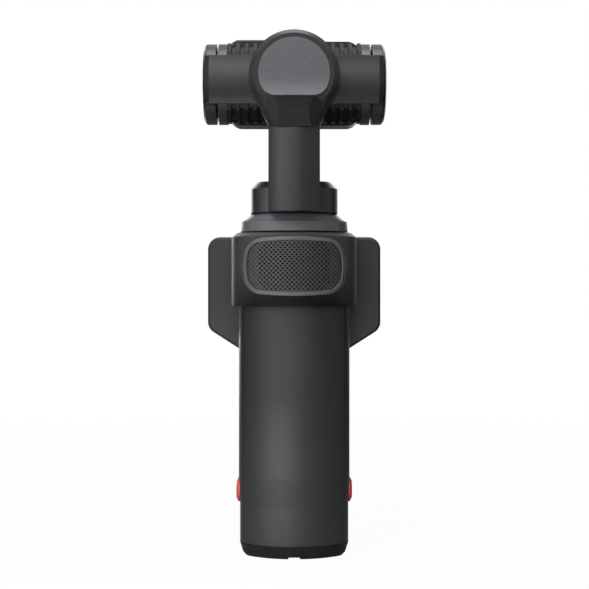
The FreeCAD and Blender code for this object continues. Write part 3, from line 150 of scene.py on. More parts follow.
def relief(
    shader: bpy.types.Node,
    height: bpy.types.NodeSocket,
    depth: float,
    strength: float,
    **values: object,
) -> None:
    """Raise a pattern on a surface without changing its outline.

    Args:
        shader: Principled shader of the surface.
        height: Output that gives the pattern.
        depth: Height of the pattern in millimetres.
        strength: Share of that height that is shown.
        **values: Further sockets of the bump node.
    """
    tree = shader.id_data
    bump = add(tree, "Bump", Height=height, Distance=depth * MM, Strength=strength, **values)
    tree.links.new(bump.outputs["Normal"], shader.inputs["Normal"])


def calculate(
    tree: bpy.types.NodeTree, operation: str, *values: bpy.types.NodeSocket | float
) -> bpy.types.NodeSocket:
    """Add a math node.

    Args:
        tree: Node tree that takes the node.
        operation: Name of the operation, such as "MAXIMUM".
        *values: Numbers, or outputs of other nodes, in the order of the operation.

    Returns:
        The output with the result.
    """
    node = add(tree, "Math")
    node.operation = operation
    for socket, value in zip(node.inputs, values):
        if isinstance(value, bpy.types.NodeSocket):
            tree.links.new(value, socket)
        else:
            socket.default_value = value
    return node.outputs["Value"]


@dataclass(frozen=True)
class Finish:
    """A surface finish that can be put on any number of pieces."""

    name: str
    colour: str
    roughness: float = 0.5

    def begin(self) -> tuple[bpy.types.Material, bpy.types.Node]:
        """Start a material with its colour and roughness.

        Returns:
            The material and its principled shader.
        """
        material, tree = bare_material(self.name)
        shader = add(
            tree, "BsdfPrincipled", Base_Color=linear(self.colour), Roughness=self.roughness
        )
        add(tree, "OutputMaterial", Surface=shader.outputs["BSDF"])
        return material, shader

    def noise(self, tree: bpy.types.NodeTree, pitch: float, detail: float = 2.0) -> bpy.types.Node:
        """Add a noise whose features are about pitch millimetres apart.

        Args:
            tree: Node tree that takes the noise.
            pitch: Size of a feature in millimetres.
            detail: Number of finer layers.

        Returns:
            The noise node.
        """
        place = add(tree, "TexCoord")
        return add(
            tree,
            "TexNoise",
            Vector=place.outputs["Object"],
            Scale=1.0 / (pitch * MM),
            Detail=detail,
        )

    def make(self) -> bpy.types.Material:
        """Build the material."""
        return self.begin()[0]


@dataclass(frozen=True)
class Moulded(Finish):
    """Injection-moulded plastic with the grain of its mould and slightly rounded edges."""

    grain: Grain = Grain.SPARK_ERODED
    specular: float = 0.34
    edge: float = 0.18
    edge_samples: int = 6
    relief_strength: float = 0.8
    wear: float = 0.05
    wear_pitch: float = 9.0

    def make(self) -> bpy.types.Material:
        """Build the material: a fine pebbled bump, edges that catch light and uneven sheen."""
        material, shader = self.begin()
        tree = material.node_tree
        shader.inputs["Specular IOR Level"].default_value = self.specular
        pitch, depth = self.grain.value
        # The grain breaks up highlights, so that the skin looks dry and soft.
        pebble = self.noise(tree, pitch)
        rounded = add(tree, "Bevel", Radius=self.edge * MM)
        rounded.samples = self.edge_samples
        normal = rounded.outputs["Normal"]
        relief(shader, pebble.outputs["Fac"], depth, self.relief_strength, Normal=normal)
        # Handling leaves some places a little smoother than others.
        touched = self.noise(tree, self.wear_pitch)
        spread = add(
            tree,
            "MapRange",
            Value=touched.outputs["Fac"],
            To_Min=self.roughness - self.wear,
            To_Max=self.roughness + self.wear,
        )
        tree.links.new(spread.outputs["Result"], shader.inputs["Roughness"])
        return material


@dataclass(frozen=True)
class PaintedShadeMoulded(Moulded):
    """Moulded sleeve with painted shade darkening it toward the lip and a painted highlight on its
    top bevel.
    """

    painted_shade_colour: str = "0A0909"
    painted_highlight_colour: str = "5A5858"
    lip: float = 0.10
    painted_shade_gloss: float = 0.25
    body: float = 0.85
    bevel: float = 0.94
    bevel_fade: float = 0.02
    corner: float = 9.0
    corner_power: float = 4.0

    def make(self) -> bpy.types.Material:
        """Build the material: the tone follows the height of the sleeve, painted shade at the lip
        and a painted highlight at the bevel.
        """
        material = super().make()
        tree = material.node_tree
        shader = next(node for node in tree.nodes if node.type == "BSDF_PRINCIPLED")
        place = add(tree, "TexCoord")
        box = add(tree, "SeparateXYZ", Vector=place.outputs["Generated"])
        # At the corners the painted shade is held back, so the wall's body tone goes down to the
        # lip.
        aside = calculate(tree, "ABSOLUTE", calculate(tree, "SUBTRACT", box.outputs["X"], 0.5))
        steep = calculate(tree, "POWER", aside, self.corner_power)
        raised = calculate(tree, "MULTIPLY_ADD", steep, self.corner, box.outputs["Z"])
        held = calculate(tree, "MINIMUM", raised, self.body)
        height = calculate(tree, "MAXIMUM", held, box.outputs["Z"])
        # Painted shade darkens the colour from the body tone down to the lip; above the bevel a
        # painted highlight pales the top.
        painted_shade_tones = add(tree, "ValToRGB", Fac=height)
        ramp = painted_shade_tones.color_ramp
        ramp.elements[0].position = self.lip
        ramp.elements[0].color = linear(self.painted_shade_colour)
        ramp.elements[1].position = self.body
        ramp.elements[1].color = linear(self.colour)
        ramp.elements.new(self.bevel).color = linear(self.colour)
        ramp.elements.new(self.bevel + self.bevel_fade).color = linear(self.painted_highlight_colour)
        tree.links.new(painted_shade_tones.outputs["Color"], shader.inputs["Base Color"])
        # The painted shade also lowers the specular level toward the lip, so the lip is matt as
        # well as dark.
        gloss = add(
            tree,
            "MapRange",
            Value=height,
            From_Min=self.lip,
            From_Max=self.body,
            To_Min=self.painted_shade_gloss * self.specular,
            To_Max=self.specular,
        )
        tree.links.new(gloss.outputs["Result"], shader.inputs["Specular IOR Level"])
        return material


@dataclass(frozen=True)
class Metal(Finish):
    """Bare or anodised metal, blasted, turned or plated."""

    metallic: float = 1.0
    grain: Grain = Grain.SATIN
    edge: float = 0.08
    relief_strength: float = 0.6

    def make(self) -> bpy.types.Material:
        """Build the material: a metal with a fine tooth and softened edges."""
        material, shader = self.begin()
        tree = material.node_tree
        shader.inputs["Metallic"].default_value = self.metallic
        pitch, depth = self.grain.value
        tooth = self.noise(tree, pitch)
        normal = add(tree, "Bevel", Radius=self.edge * MM).outputs["Normal"]
        relief(shader, tooth.outputs["Fac"], depth, self.relief_strength, Normal=normal)
        return material


@dataclass(frozen=True)
class Laminated(Finish):
    """Stack of thin punched steel sheets, as in a motor's core."""

    sheet: float = 0.2
    groove: float = 0.03
    relief_strength: float = 0.7

    def make(self) -> bpy.types.Material:
        """Build the material: dark lines between sheets, which tell a core from solid steel."""
        material, shader = self.begin()
        tree = material.node_tree
        shader.inputs["Metallic"].default_value = 1.0
        place = add(tree, "TexCoord")
        lines = add(
            tree,
            "TexWave",
            Vector=place.outputs["Object"],
            Scale=math.tau / (WAVE_FACTOR * self.sheet * MM),
        )
        lines.bands_direction = "Z"
        relief(shader, lines.outputs["Fac"], self.groove, self.relief_strength)
        return material


@dataclass(frozen=True)
class Glass(Finish):
    """Clear ground glass with a thin coating that tints its reflection."""

    index: float = 1.52
    film: float = 0.0
    film_index: float = 1.38

    def make(self) -> bpy.types.Material:
        """Build the material: clear body, and a coloured reflection where there is a film."""
        material, shader = self.begin()
        shader.inputs["IOR"].default_value = self.index
        shader.inputs["Transmission Weight"].default_value = 1.0
        shader.inputs["Thin Film Thickness"].default_value = self.film
        shader.inputs["Thin Film IOR"].default_value = self.film_index
        return material


@dataclass(frozen=True)
class BlackGlass(Finish):
    """Cover glass printed black behind, over a display that is off."""

    coat_roughness: float = 0.02
    cloud_pitch: float = 14.0
    unevenness: float = 0.03

    def make(self) -> bpy.types.Material:
        """Build the material: deep black under one sharp reflection."""
        material, shader = self.begin()
        shader.inputs["Coat Weight"].default_value = 1.0
        shader.inputs["Coat Roughness"].default_value = self.coat_roughness
        # Faint sputtered film, seen as a slightly uneven black.
        tree = material.node_tree
        cloud = self.noise(tree, self.cloud_pitch)
        tone = add(
            tree,
            "MapRange",
            Value=cloud.outputs["Fac"],
            To_Min=self.roughness,
            To_Max=self.roughness + self.unevenness,
        )
        tree.links.new(tone.outputs["Result"], shader.inputs["Roughness"])
        return material


@dataclass(frozen=True)
class Foam(Finish):
    """Open-cell foam that lets sound through and light hardly at all."""

    cell: float = 0.35
    pore_depth: float = 0.15
    relief_strength: float = 1.0

    def make(self) -> bpy.types.Material:
        """Build the material: round pores with dark bottoms."""
        material, shader = self.begin()
        tree = material.node_tree
        place = add(tree, "TexCoord")
        cells = add(
            tree,
            "TexVoronoi",
            Vector=place.outputs["Object"],
            Scale=1.0 / (self.cell * MM),
        )
        relief(shader, cells.outputs["Distance"], self.pore_depth, self.relief_strength)
        return material


@dataclass(frozen=True)
class Circuit(Finish):
    """Fibreglass board under solder mask, with its tracks as faint ridges."""

    track: float = 0.9
    threshold: float = 0.5
    copper: float = 0.03
    relief_strength: float = 0.8

    def make(self) -> bpy.types.Material:
        """Build the material: square-cornered ridges under a glossy mask."""
        material, shader = self.begin()
        tree = material.node_tree
        place = add(tree, "TexCoord")
        tracks = add(
            tree,
            "TexVoronoi",
            Vector=place.outputs["Object"],
            Scale=1.0 / (self.track * MM),
        )
        tracks.distance = "MANHATTAN"
        tracks.feature = "F2"
        steps = calculate(tree, "GREATER_THAN", tracks.outputs["Distance"], self.threshold)
        relief(shader, steps, self.copper, self.relief_strength)
        return material


@dataclass(frozen=True)
class Wrapped(Finish):
    """Shrink film round a battery cell, with shallow creases."""

    crease_pitch: float = 7.0
    crease_layers: float = 4.0
    crease_depth: float = 0.12
    relief_strength: float = 0.5

    def make(self) -> bpy.types.Material:
        """Build the material: long soft creases under a film's sheen."""
        material, shader = self.begin()
        creases = self.noise(material.node_tree, self.crease_pitch, self.crease_layers)
        relief(shader, creases.outputs["Fac"], self.crease_depth, self.relief_strength)
        return material


class Finishes:
    """The finishes of this camera, each made into a material when it is first used."""

    GRAPHITE = Moulded("graphite_polycarbonate_spark_eroded", "191A1C", 0.42, specular=0.30)
    SHELL = Moulded("screen_polycarbonate_spark_eroded", "202123", 0.42, specular=0.34)
    BASE = Moulded("dark_base_polycarbonate", "0E0E0F", 0.50, specular=0.18)
    NECK = Moulded("grey_neck_casting_blasted", "505155", 0.42, grain=Grain.BLASTED, specular=0.32)
    ARM = Moulded("anodised_magnesium_graphite", "1B1C1E", 0.38, grain=Grain.BLASTED)
    COVER = Moulded("graphite_cover_satin", "47484C", 0.28, grain=Grain.SATIN)
    CAP = Moulded("dark_motor_cap_blasted", "0C0C0D", 0.42, grain=Grain.BLASTED, specular=0.26)
    FINS = Moulded("black_anodised_fins", "090909", 0.45, grain=Grain.BLASTED, specular=0.20)
    ROTOR = Metal("black_oxide_steel_rotor", "1A1A1B", 0.45, metallic=0.6)
    # The sleeve's finish holds painted shade toward its lip and a painted highlight on its top
    # bevel.
    GUARD = PaintedShadeMoulded("brown_black_nylon_painted_shade", "2C2A2A", 0.50, specular=0.36, edge=0.6)
    GRILLE = Metal("etched_steel_brown_grey_lacquer", "343131", 0.50, metallic=0.15)
    # Darker dimple floors: painted shade for the dark inside of the blind dimples.
    DIMPLE_SHADE = Metal("painted_shade_in_dimples", "1F1D1D", 0.60, metallic=0.1)
    GRILLE_RIM = Metal("pressed_steel_rim_brown_grey_lacquer", "595656", 0.50, metallic=0.2)
    FOAM = Foam("open_cell_foam_black", "0C0C0C", 0.95)
    RELEASE = Moulded("red_moulded_acetal", "A03632", 0.50, grain=Grain.SATIN, specular=0.3)
    RECORD = Moulded("red_moulded_polycarbonate", "B02820", 0.32, grain=Grain.SATIN, specular=0.5)
    RUBBER = Moulded("black_silicone_rubber", "1C1C1D", 0.72, grain=Grain.SATIN, specular=0.3)
    BRASS = Metal("turned_brass", "C9A45C", 0.30)
    GOLD = Metal("gold_plated_contacts", "D9B25F", 0.22, grain=Grain.POLISHED)
    STEEL = Metal("ground_steel", "A8A9AB", 0.30)
    CORE = Laminated("laminated_silicon_steel", "6F7073", 0.42)
    BOARD = Circuit("green_black_circuit_board", "16241C", 0.35)
    CELL = Wrapped("grey_shrink_film", "4A4C50", 0.34)
    BARREL = Moulded("black_lens_barrel_anodised", "0B0B0C", 0.38, grain=Grain.SATIN)
    RING = Metal("anodised_aluminium_lens_ring", "2A2B2D", 0.30, metallic=0.85)
    PANEL = BlackGlass("display_panel_black", "050506", 0.08)
    SCREEN = BlackGlass("cover_glass_printed_black", "060607", 0.05)
    LENS = Glass("coated_front_lens", "F6F8FA", 0.0, film=118.0)
    ELEMENT = Glass("coated_inner_lens", "EEF2F6", 0.0, index=1.62, film=310.0)

    made: dict[str, bpy.types.Material] = {}

    @classmethod
    def of(cls, finish: Finish) -> bpy.types.Material:
        """Return the material of a finish, made once.

        Args:
            finish: One of the finishes above.

        Returns:
            Its material.
        """
        if finish.name not in cls.made:
            cls.made[finish.name] = finish.make()
        return cls.made[finish.name]


@dataclass
class MeshPen:
    """Collects points and faces in millimetres and writes them as one object."""

    name: str
    points: list[Point] = field(default_factory=list)
    faces: list[tuple[int, ...]] = field(default_factory=list)
    known: dict[Point, int] = field(default_factory=dict)
    second: list[int] = field(default_factory=list)

    def point(self, x: float, y: float, z: float) -> int:
        """Add a point, or find it if it is there, and return its index."""
        key = (round(x, 4), round(y, 4), round(z, 4))
        if key not in self.known:
            self.known[key] = len(self.points)
            self.points.append((x, y, z))
        return self.known[key]

    def loop(self, places: Iterable[Point]) -> list[int]:
        """Add a row of points and return their indices."""
        return [self.point(*place) for place in places]

    def bridge(self, first: Sequence[int], second: Sequence[int]) -> None:
        """Join two closed loops of equal length with a band of faces."""
        for i, here in enumerate(first):
            j = (i + 1) % len(first)
            corners = tuple(dict.fromkeys((here, first[j], second[j], second[i])))
            if len(corners) > 2:
                self.faces.append(corners)

    def turn(self, rows: Iterable[Flat], x: float, z: float, steps: int = 48) -> None:
        """Turn a profile about an axis along Y.

        Args:
            rows: Radius and y of each point of the profile, from the front outward and back.
            x: Place of the axis across.
            z: Height of the axis.
            steps: Points round the axis.
        """
        last: list[int] = []
        for radius, y in rows:
            angles = (math.tau * i / steps for i in range(steps))
            row = self.loop((x + radius * math.cos(a), y, z + radius * math.sin(a)) for a in angles)
            if last:
                self.bridge(last, row)
            last = row

    def write(
        self,
        body: Body,
        finish: Finish,
        other: Finish | None = None,
        smooth_below: float = 35.0,
    ) -> bpy.types.Object:
        """Make the object, dress it and let it ride on a body.

        Args:
            body: Moving body that carries the piece.
            finish: Finish of the whole piece.
            other: Finish of the faces listed in second, if there are any.
            smooth_below: Edges flatter than this many degrees are shaded smooth.

        Returns:
            The new object.
        """
        mesh = bpy.data.meshes.new(self.name)
        mesh.from_pydata([tuple(v * MM for v in p) for p in self.points], [], self.faces)
        mesh.materials.append(Finishes.of(finish))
        if other:
            mesh.materials.append(Finishes.of(other))
            for index in self.second:
                mesh.polygons[index].material_index = 1
        mesh.shade_smooth()
        mesh.set_sharp_from_angle(angle=math.radians(smooth_below))
        piece = bpy.data.objects.new(self.name, mesh)
        bpy.context.scene.collection.objects.link(piece)
        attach(piece, body.value)
        LOG.info("%s: %d faces on %s", self.name, len(self.faces), body.value)
        return piece


@dataclass
class Assembly:
    """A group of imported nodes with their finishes, and the pieces built for them."""

    frame: dict

    def dress(self, finish: Finish, *names: str) -> None:
        """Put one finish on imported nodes.

        Args:
            finish: Finish to put on.
            *names: Names of the nodes.
        """
        for name in names:
            mesh = self.frame["nodes"][name].data
            mesh.materials.clear()
            mesh.materials.append(Finishes.of(finish))
        LOG.info("%s: %s", finish.name, ", ".join(names))

    def build(self) -> None:
        """Dress the nodes and build the pieces of this sub-assembly."""
        raise NotImplementedError


@dataclass(frozen=True)
class CrownedRing:
    """Outline at one height, crowned at the back and the front, with round corners."""

    height: float
    half: float
    back: float
    front: float
    crown: float = 20.5
    corner: float = 8.4
    steps: int = 12

    def side(self, depth: float) -> list[Flat]:
        """Walk along one crowned side from its right end to its left end.

        Args:
            depth: Distance of the crown from the middle.

        Returns:
            Places in order, as (across, out).
        """
        across = self.half - self.corner
        centre = depth - self.crown
        out = centre + math.sqrt((self.crown - self.corner) ** 2 - across * across)
        bend = math.atan2(out - centre, across)
        places = []
        for i in range(self.steps):
            angle = bend * i / self.steps
            places.append(
                (across + self.corner * math.cos(angle), out + self.corner * math.sin(angle))
            )
        for i in range(self.steps + 1):
            angle = bend + (math.pi / 2 - bend) * i / self.steps
            places.append((self.crown * math.cos(angle), centre + self.crown * math.sin(angle)))
        mirrored = [(-x, y) for x, y in reversed(places[:-1])]
        return places + mirrored

    def outline(self) -> list[Flat]:
        """Return the whole closed outline as (x, y), first the front and then the back."""
        front = self.side(self.front)
        back = [(-x, -y) for x, y in self.side(self.back)]
        return front + back


@dataclass
class Handle(Assembly):
    """Grip with its base cap, battery, board, contacts and neck."""

    thread_radius: float = 3.2
    thread_pitch: float = 1.27
    thread_height: float = 0.62
    thread_depth: float = 5.2
    thread_steps: int = 32
    thread_root_share: float = 0.42
    thread_crest_half: float = 0.08
    thread_lead_in: float = 0.1
    flare: tuple[CrownedRing, ...] = (
        CrownedRing(104.86, 16.6, 14.2, 11.5),
        CrownedRing(105.2, 15.9, 14.0, 11.4),
        CrownedRing(105.9, 14.8, 13.75, 11.25),
        CrownedRing(107.1, 13.5, 13.4, 11.1),
        CrownedRing(107.28, 13.3, 13.2, 10.95),
        CrownedRing(107.0, 13.0, 12.8, 10.85),
    )

    def build(self) -> None:
        """Dress the grip, cut the tripod thread and lay the flare round the neck."""
        self.dress(Finishes.GRAPHITE, "grip_back_shell", "grip_front_shell", "battery_sleeve")
        self.dress(Finishes.BASE, "base_cap")
        self.dress(Finishes.NECK, "neck_housing")
        self.dress(Finishes.BRASS, "tripod_insert")
        self.dress(Finishes.GOLD, "dock_contacts")
        self.dress(Finishes.STEEL, "usb_socket", "shell_screws")
        self.dress(Finishes.STEEL, "release_spring_left", "release_spring_right")
        self.dress(Finishes.STEEL, "pan_bearings")
        self.dress(Finishes.CORE, "pan_stator")
        self.dress(Finishes.CELL, "battery_pack")
        self.dress(Finishes.BOARD, "main_board")
        self.dress(Finishes.RELEASE, "release_button_left", "release_button_right")
        self.tripod_thread()
        self.neck_flare()

    def neck_flare(self) -> None:
        """Build the thin flared ring that leads from the neck's flange up to the hub."""
        pen = MeshPen("neck_flare_ring")
        last: list[int] = []
        for ring in self.flare:
            row = pen.loop((x, y, ring.height) for x, y in ring.outline())
            if last:
                pen.bridge(last, row)
            last = row
        pen.write(Body.HANDLE, Finishes.NECK)

    def tripod_thread(self) -> None:
        """Wind the ridge of the tripod thread inside its brass insert."""
        pen = MeshPen("tripod_thread_ridge")
        half = self.thread_root_share * self.thread_pitch
        crest, flat = self.thread_height, self.thread_crest_half
        profile = ((0.0, -half), (crest, -flat), (crest, flat), (0.0, half))
        turns = (self.thread_depth - 2 * half) / self.thread_pitch
        count = int(turns * self.thread_steps)
        last: list[int] = []
        for i in range(count + 1):
            turn = i / self.thread_steps
            angle = math.tau * turn
            rise = half + self.thread_lead_in + turn * self.thread_pitch
            row = []
            for inward, up in profile:
                radius = self.thread_radius - inward
                row.append(pen.point(radius * math.cos(angle), radius * math.sin(angle), rise + up))
            if last:
                for j in range(len(profile) - 1):
                    pen.faces.append((last[j], row[j], row[j + 1], last[j + 1]))
            last = row
        pen.write(Body.BATTERY, Finishes.BRASS)


def inside_round_rectangle(x: float, z: float, half_w: float, half_h: float, corner: float) -> bool:
    """Tell if a place lies inside a rectangle with round corners.

    Args:
        x: Place across, from the middle.
        z: Place up, from the middle.
        half_w: Half the width.
        half_h: Half the height.
        corner: Radius of the corners.

    Returns:
        True inside or on the outline.
    """
    over_x = max(abs(x) - half_w + corner, 0.0)
    over_z = max(abs(z) - half_h + corner, 0.0)
    return math.hypot(over_x, over_z) <= corner


@dataclass
class WindGuard(Assembly):
    """Moulded sleeve with a perforated grille over the microphone."""

    crown_radius: float = 24.3
    crown_centre: float = 9.2
    width: float = 32.2
    height: float = 18.4
    corner: float = 6.3
    bow: float = 0.45
    side_bow: float = 0.3
    middle: float = 90.9
    rim: float = 1.25
    rim_slope: float = 0.08
    rim_steps: int = 14
    tuck: float = 0.75
    fullness: float = 0.06
    pitch: float = 1.414
    hole_sides: int = 8
    hole_radius: float = 0.36
    panel_sink: float = 0.12
    sheet: float = 0.9
    dimple: float = 0.22
    open_width: float = 21.9
    open_height: float = 15.0
    open_corner: float = 3.4

    def build(self) -> None:
        """Dress the sleeve and foam, and build the grille with its fine holes."""
        self.dress(Finishes.GUARD, "guard_sleeve")
        self.dress(Finishes.FOAM, "guard_foam")
        panel = self.perforated_panel()
        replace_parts(panel, "guard_grille")
        self.raised_rim()

    def skin(self, x: float, proud: float) -> float:
        """Return y of the guard's crowned back at x, raised by proud."""
        return self.crown_centre - math.sqrt((self.crown_radius + proud) ** 2 - x * x)

    def inside(self, x: float, z: float, inset: float) -> bool:
        """Tell if a place lies inside the grille's outline drawn in by inset."""
        run, rise = self.width / 2 - self.corner, self.height / 2 - self.corner
        up = abs(z - self.middle)
        over_x = max(abs(x) - run, 0.0) / (self.width / 2 - self.side_bow - inset - run)
        over_z = max(up - rise, 0.0) / (self.height / 2 - self.bow - inset - rise)
        bulge = 1.0 + self.fullness * (1.0 - min(abs(x) / run, 1.0) ** 2)
        return math.hypot(over_x, over_z) <= bulge

    def perforated_panel(self) -> bpy.types.Object:
        """Build the sheet: open holes in the middle field and blind dimples round it."""
        pen = MeshPen("wind_guard_grille_panel")
        half = self.pitch / 2
        columns = int(self.width / half / 2) + 1
        rows = int(self.height / half / 2) + 1
        for i in range(-columns, columns + 1):
            for j in range(-rows, rows + 1):
                x, z = i * half, self.middle + j * half
                if (i + j) % 2 or not self.inside(x, z, self.rim - self.tuck):
                    continue
                self.cell(pen, x, z)
        return pen.write(Body.WIND_GUARD, Finishes.GRILLE, Finishes.DIMPLE_SHADE)

    def cell(self, pen: MeshPen, x: float, z: float) -> None:
        """Draw one diamond of the sheet with the hole in its middle.

        Args:
            pen: Mesh that takes the faces.
            x: Middle of the hole across.
            z: Height of the middle of the hole.
        """
        half = self.pitch / 2
        outer, inner = [], []
        for k in range(self.hole_sides):
            angle = k * math.tau / self.hole_sides
            reach = half if k % 2 == 0 else half / math.sqrt(2)
            for row, radius in ((outer, reach), (inner, self.hole_radius)):
                row.append((x + radius * math.cos(angle), z + radius * math.sin(angle)))
        opens = inside_round_rectangle(
            x, z - self.middle, self.open_width / 2, self.open_height / 2, self.open_corner
        )
        sink = self.sheet if opens else self.dimple
        face = pen.loop((px, self.skin(px, -self.panel_sink), pz) for px, pz in outer)
        mouth = pen.loop((px, self.skin(px, -self.panel_sink), pz) for px, pz in inner)
        floor = pen.loop((px, self.skin(px, -self.panel_sink - sink), pz) for px, pz in inner)
        pen.bridge(face, mouth)
        pen.bridge(mouth, floor)
        # Blind dimple floors take the darker finish, painted shade for their dark inside.
        if not opens:
            pen.faces.append(tuple(floor))
            pen.second.append(len(pen.faces) - 1)

    def outline(self, inset: float, steps: int) -> list[Flat]:
        """Walk round the grille: large round corners and slightly bowed sides.

        Args:
            inset: Distance by which the outline is drawn in.
            steps: Points along each corner and each side.

        Returns:
            Places in order, as (across, up) from the middle of the grille.
        """
        half_w, half_h = self.width / 2 - inset, self.height / 2 - inset
        run, rise = self.width / 2 - self.corner, self.height / 2 - self.corner
        corner_w, corner_h = half_w - self.side_bow - run, half_h - self.bow - rise
        places: list[Flat] = []
        for turn, (sx, sz) in enumerate(((1, 1), (-1, 1), (-1, -1), (1, -1))):
            level = turn % 2 == 0
            for i in range(steps):
                angle = (i if level else steps - i) / steps * math.pi / 2
                across = run + corner_w * math.cos(angle)
                up = rise + corner_h * math.sin(angle)
                places.append((sx * across, sz * up))
            for i in range(steps):
                share = 1 - 2 * i / steps
                fall = share * share
                if level:
                    places.append((sx * run * share, sz * (half_h - self.bow * fall)))
                else:
                    places.append((sx * (half_w - self.side_bow * fall), sz * rise * share))
        return places

    def raised_rim(self) -> None:
        """Build the bead round the grille, from the sleeve up to a ridge and down to the sheet."""
        pen = MeshPen("wind_guard_grille_rim")
        # Each step says how far in from the outline it is, and how far it stands proud.
        profile = (
            (0.0, -0.35), (0.0, 0.0), (0.1, 0.1), (0.5, 0.14), (0.62, 0.28), (0.8, 0.36),
            (1.0, 0.36), (self.rim - self.rim_slope, 0.24), (self.rim, 0.0), (self.rim, -0.5),
        )
        last: list[int] = []
        for inset, proud in profile:
            outline = self.outline(inset, self.rim_steps)
            row = pen.loop((x, self.skin(x, proud), z + self.middle) for x, z in outline)
            if last:
                pen.bridge(last, row)
            last = row
        pen.write(Body.WIND_GUARD, Finishes.GRILLE_RIM)


@dataclass
class ScreenModule(Assembly):
    """Display unit on the front of the grip, with its record button and thumb stick."""

    def build(self) -> None:
        """Dress the display unit and its controls."""
        self.dress(Finishes.SHELL, "screen_back_shell", "screen_front_shell")
        self.dress(Finishes.SCREEN, "screen_glass")
        self.dress(Finishes.PANEL, "display_panel")
        self.dress(Finishes.CELL, "screen_cell")
        self.dress(Finishes.BOARD, "screen_board", "key_board")
        self.dress(Finishes.RECORD, "record_button")
        self.dress(Finishes.STEEL, "stick_ring")
        self.dress(Finishes.RUBBER, "stick_cap")


@dataclass
class PanArm(Assembly):
    """Upright arm from the pan motor to the roll motor's housing."""

    cover_radius: float = 10.8
    cover_chord: float = 6.8
    cover_middle: float = 148.65
    cover_back: float = -24.2
    cover_sheet: float = 0.4
    cover_corner: float = 4.6
    cover_lip: float = 0.55
    cover_sweep: float = 6.2
    cover_steps: int = 36
    cover_smooth_below: float = 20.0

    def build(self) -> None:
        """Dress the arm and its motor parts, and build its cover."""
        self.dress(Finishes.ARM, "pan_arm")
        self.dress(Finishes.CAP, "roll_cap")
        self.dress(Finishes.COVER, "roll_cover")
        self.dress(Finishes.ROTOR, "pan_rotor")
        self.dress(Finishes.STEEL, "pan_shaft", "roll_bearing")
        self.dress(Finishes.CORE, "roll_stator")
        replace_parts(self.cover(), "roll_cover")

    def cover_side(self) -> list[Flat]:
        """Walk up the right side of the cover, from its straight foot to its top.

        Returns:
            Places in order, as (across, up) from the middle of the round part.
        """
        inner = self.cover_radius - self.cover_corner
        low = self.cover_corner - self.cover_chord
        across = math.sqrt(inner * inner - low * low)
        meet = math.atan2(low, across)
        places = []
        for i in range(self.cover_steps):
            angle = -math.pi / 2 + (meet + math.pi / 2) * i / self.cover_steps
            radius = self.cover_corner
            places.append((across + radius * math.cos(angle), low + radius * math.sin(angle)))
        for i in range(self.cover_steps + 1):
            angle = meet + (math.pi / 2 - meet) * i / self.cover_steps
            radius = self.cover_radius
            places.append((radius * math.cos(angle), radius * math.sin(angle)))
        return places

    def cover(self) -> bpy.types.Object:
        """Build the round cover: flat, and swept gently outward toward its straight foot."""
        pen = MeshPen("roll_cover_swept_plate")
        last: list[int] = []
        for across, rise in self.cover_side():
            share = max(0.0, 1.0 - (rise + self.cover_chord) / self.cover_sweep)
            face = self.cover_back - self.cover_sheet - self.cover_lip * share * share
            back, z = self.cover_back, self.cover_middle + rise
            row = pen.loop(
                ((across, face, z), (across, back, z), (-across, back, z), (-across, face, z))
            )
            if last:
                pen.bridge(last, row)
            else:
                pen.faces.append(tuple(row))
            last = row
        return pen.write(Body.ARM, Finishes.COVER, smooth_below=self.cover_smooth_below)


@dataclass
class Yoke(Assembly):
    """Roll yoke with its two arms, end covers and tilt motor."""

    def build(self) -> None:
        """Dress the yoke and the parts of the tilt motor that it holds."""
        self.dress(Finishes.ARM, "yoke_frame", "yoke_cover_left", "yoke_cover_right")
        self.dress(Finishes.ROTOR, "roll_rotor")
        self.dress(Finishes.STEEL, "roll_shaft", "tilt_bearings")
        self.dress(Finishes.CORE, "tilt_stator")


@dataclass(frozen=True)
class LensStack:
    """Glass elements and iris behind the front glass of one lens."""

    name: str
    x: float
    bore: float
    seat: float
    height: float = 148.65
    steps: int = 12
    second_play: float = 0.1
    second_depth: float = 1.0
    second_bulge: float = 0.9
    rear_share: float = 0.62
    rear_depth: float = 4.6
    rear_bulge: float = 0.8
    rim_thickness: float = 0.5
    back_bulge: float = 0.3
    iris_share: float = 0.42
    iris_depth: float = 3.4
    iris_play: float = 0.05
    iris_sheet: float = 0.25

    def build(self) -> None:
        """Build the second element, the rear element and the iris in the barrel."""
        second_front = self.seat - self.second_depth
        self.element("second", self.bore - self.second_play, second_front, self.second_bulge)
        rear_front = self.seat - self.rear_depth
        self.element("rear", self.rear_share * self.bore, rear_front, self.rear_bulge)
        pen = MeshPen(f"{self.name}_iris")
        hole, edge = self.iris_share * self.bore, self.bore - self.iris_play
        y = self.seat - self.iris_depth
        back = y - self.iris_sheet
        rim = ((hole, y), (edge, y), (edge, back), (hole, back))
        pen.turn(rim + rim[:1], self.x, self.height)
        pen.write(Body.CAMERA, Finishes.BARREL)

    def element(self, part: str, radius: float, front: float, bulge: float) -> None:
        """Build one element with a domed front and a slightly domed back.

        Args:
            part: Which element it is.
            radius: Its radius.
            front: The y of the top of its dome.
            bulge: Height of the dome.
        """
        pen = MeshPen(f"{self.name}_{part}_element")
        shares = [i / self.steps for i in range(self.steps + 1)]
        rows = [(radius * s, front - bulge * s * s) for s in shares]
        back = front - bulge - self.rim_thickness
        rows += [(radius * s, back - self.back_bulge * (1 - s * s)) for s in reversed(shares)]
        pen.turn(rows, self.x, self.height)
        pen.write(Body.CAMERA, Finishes.ELEMENT)


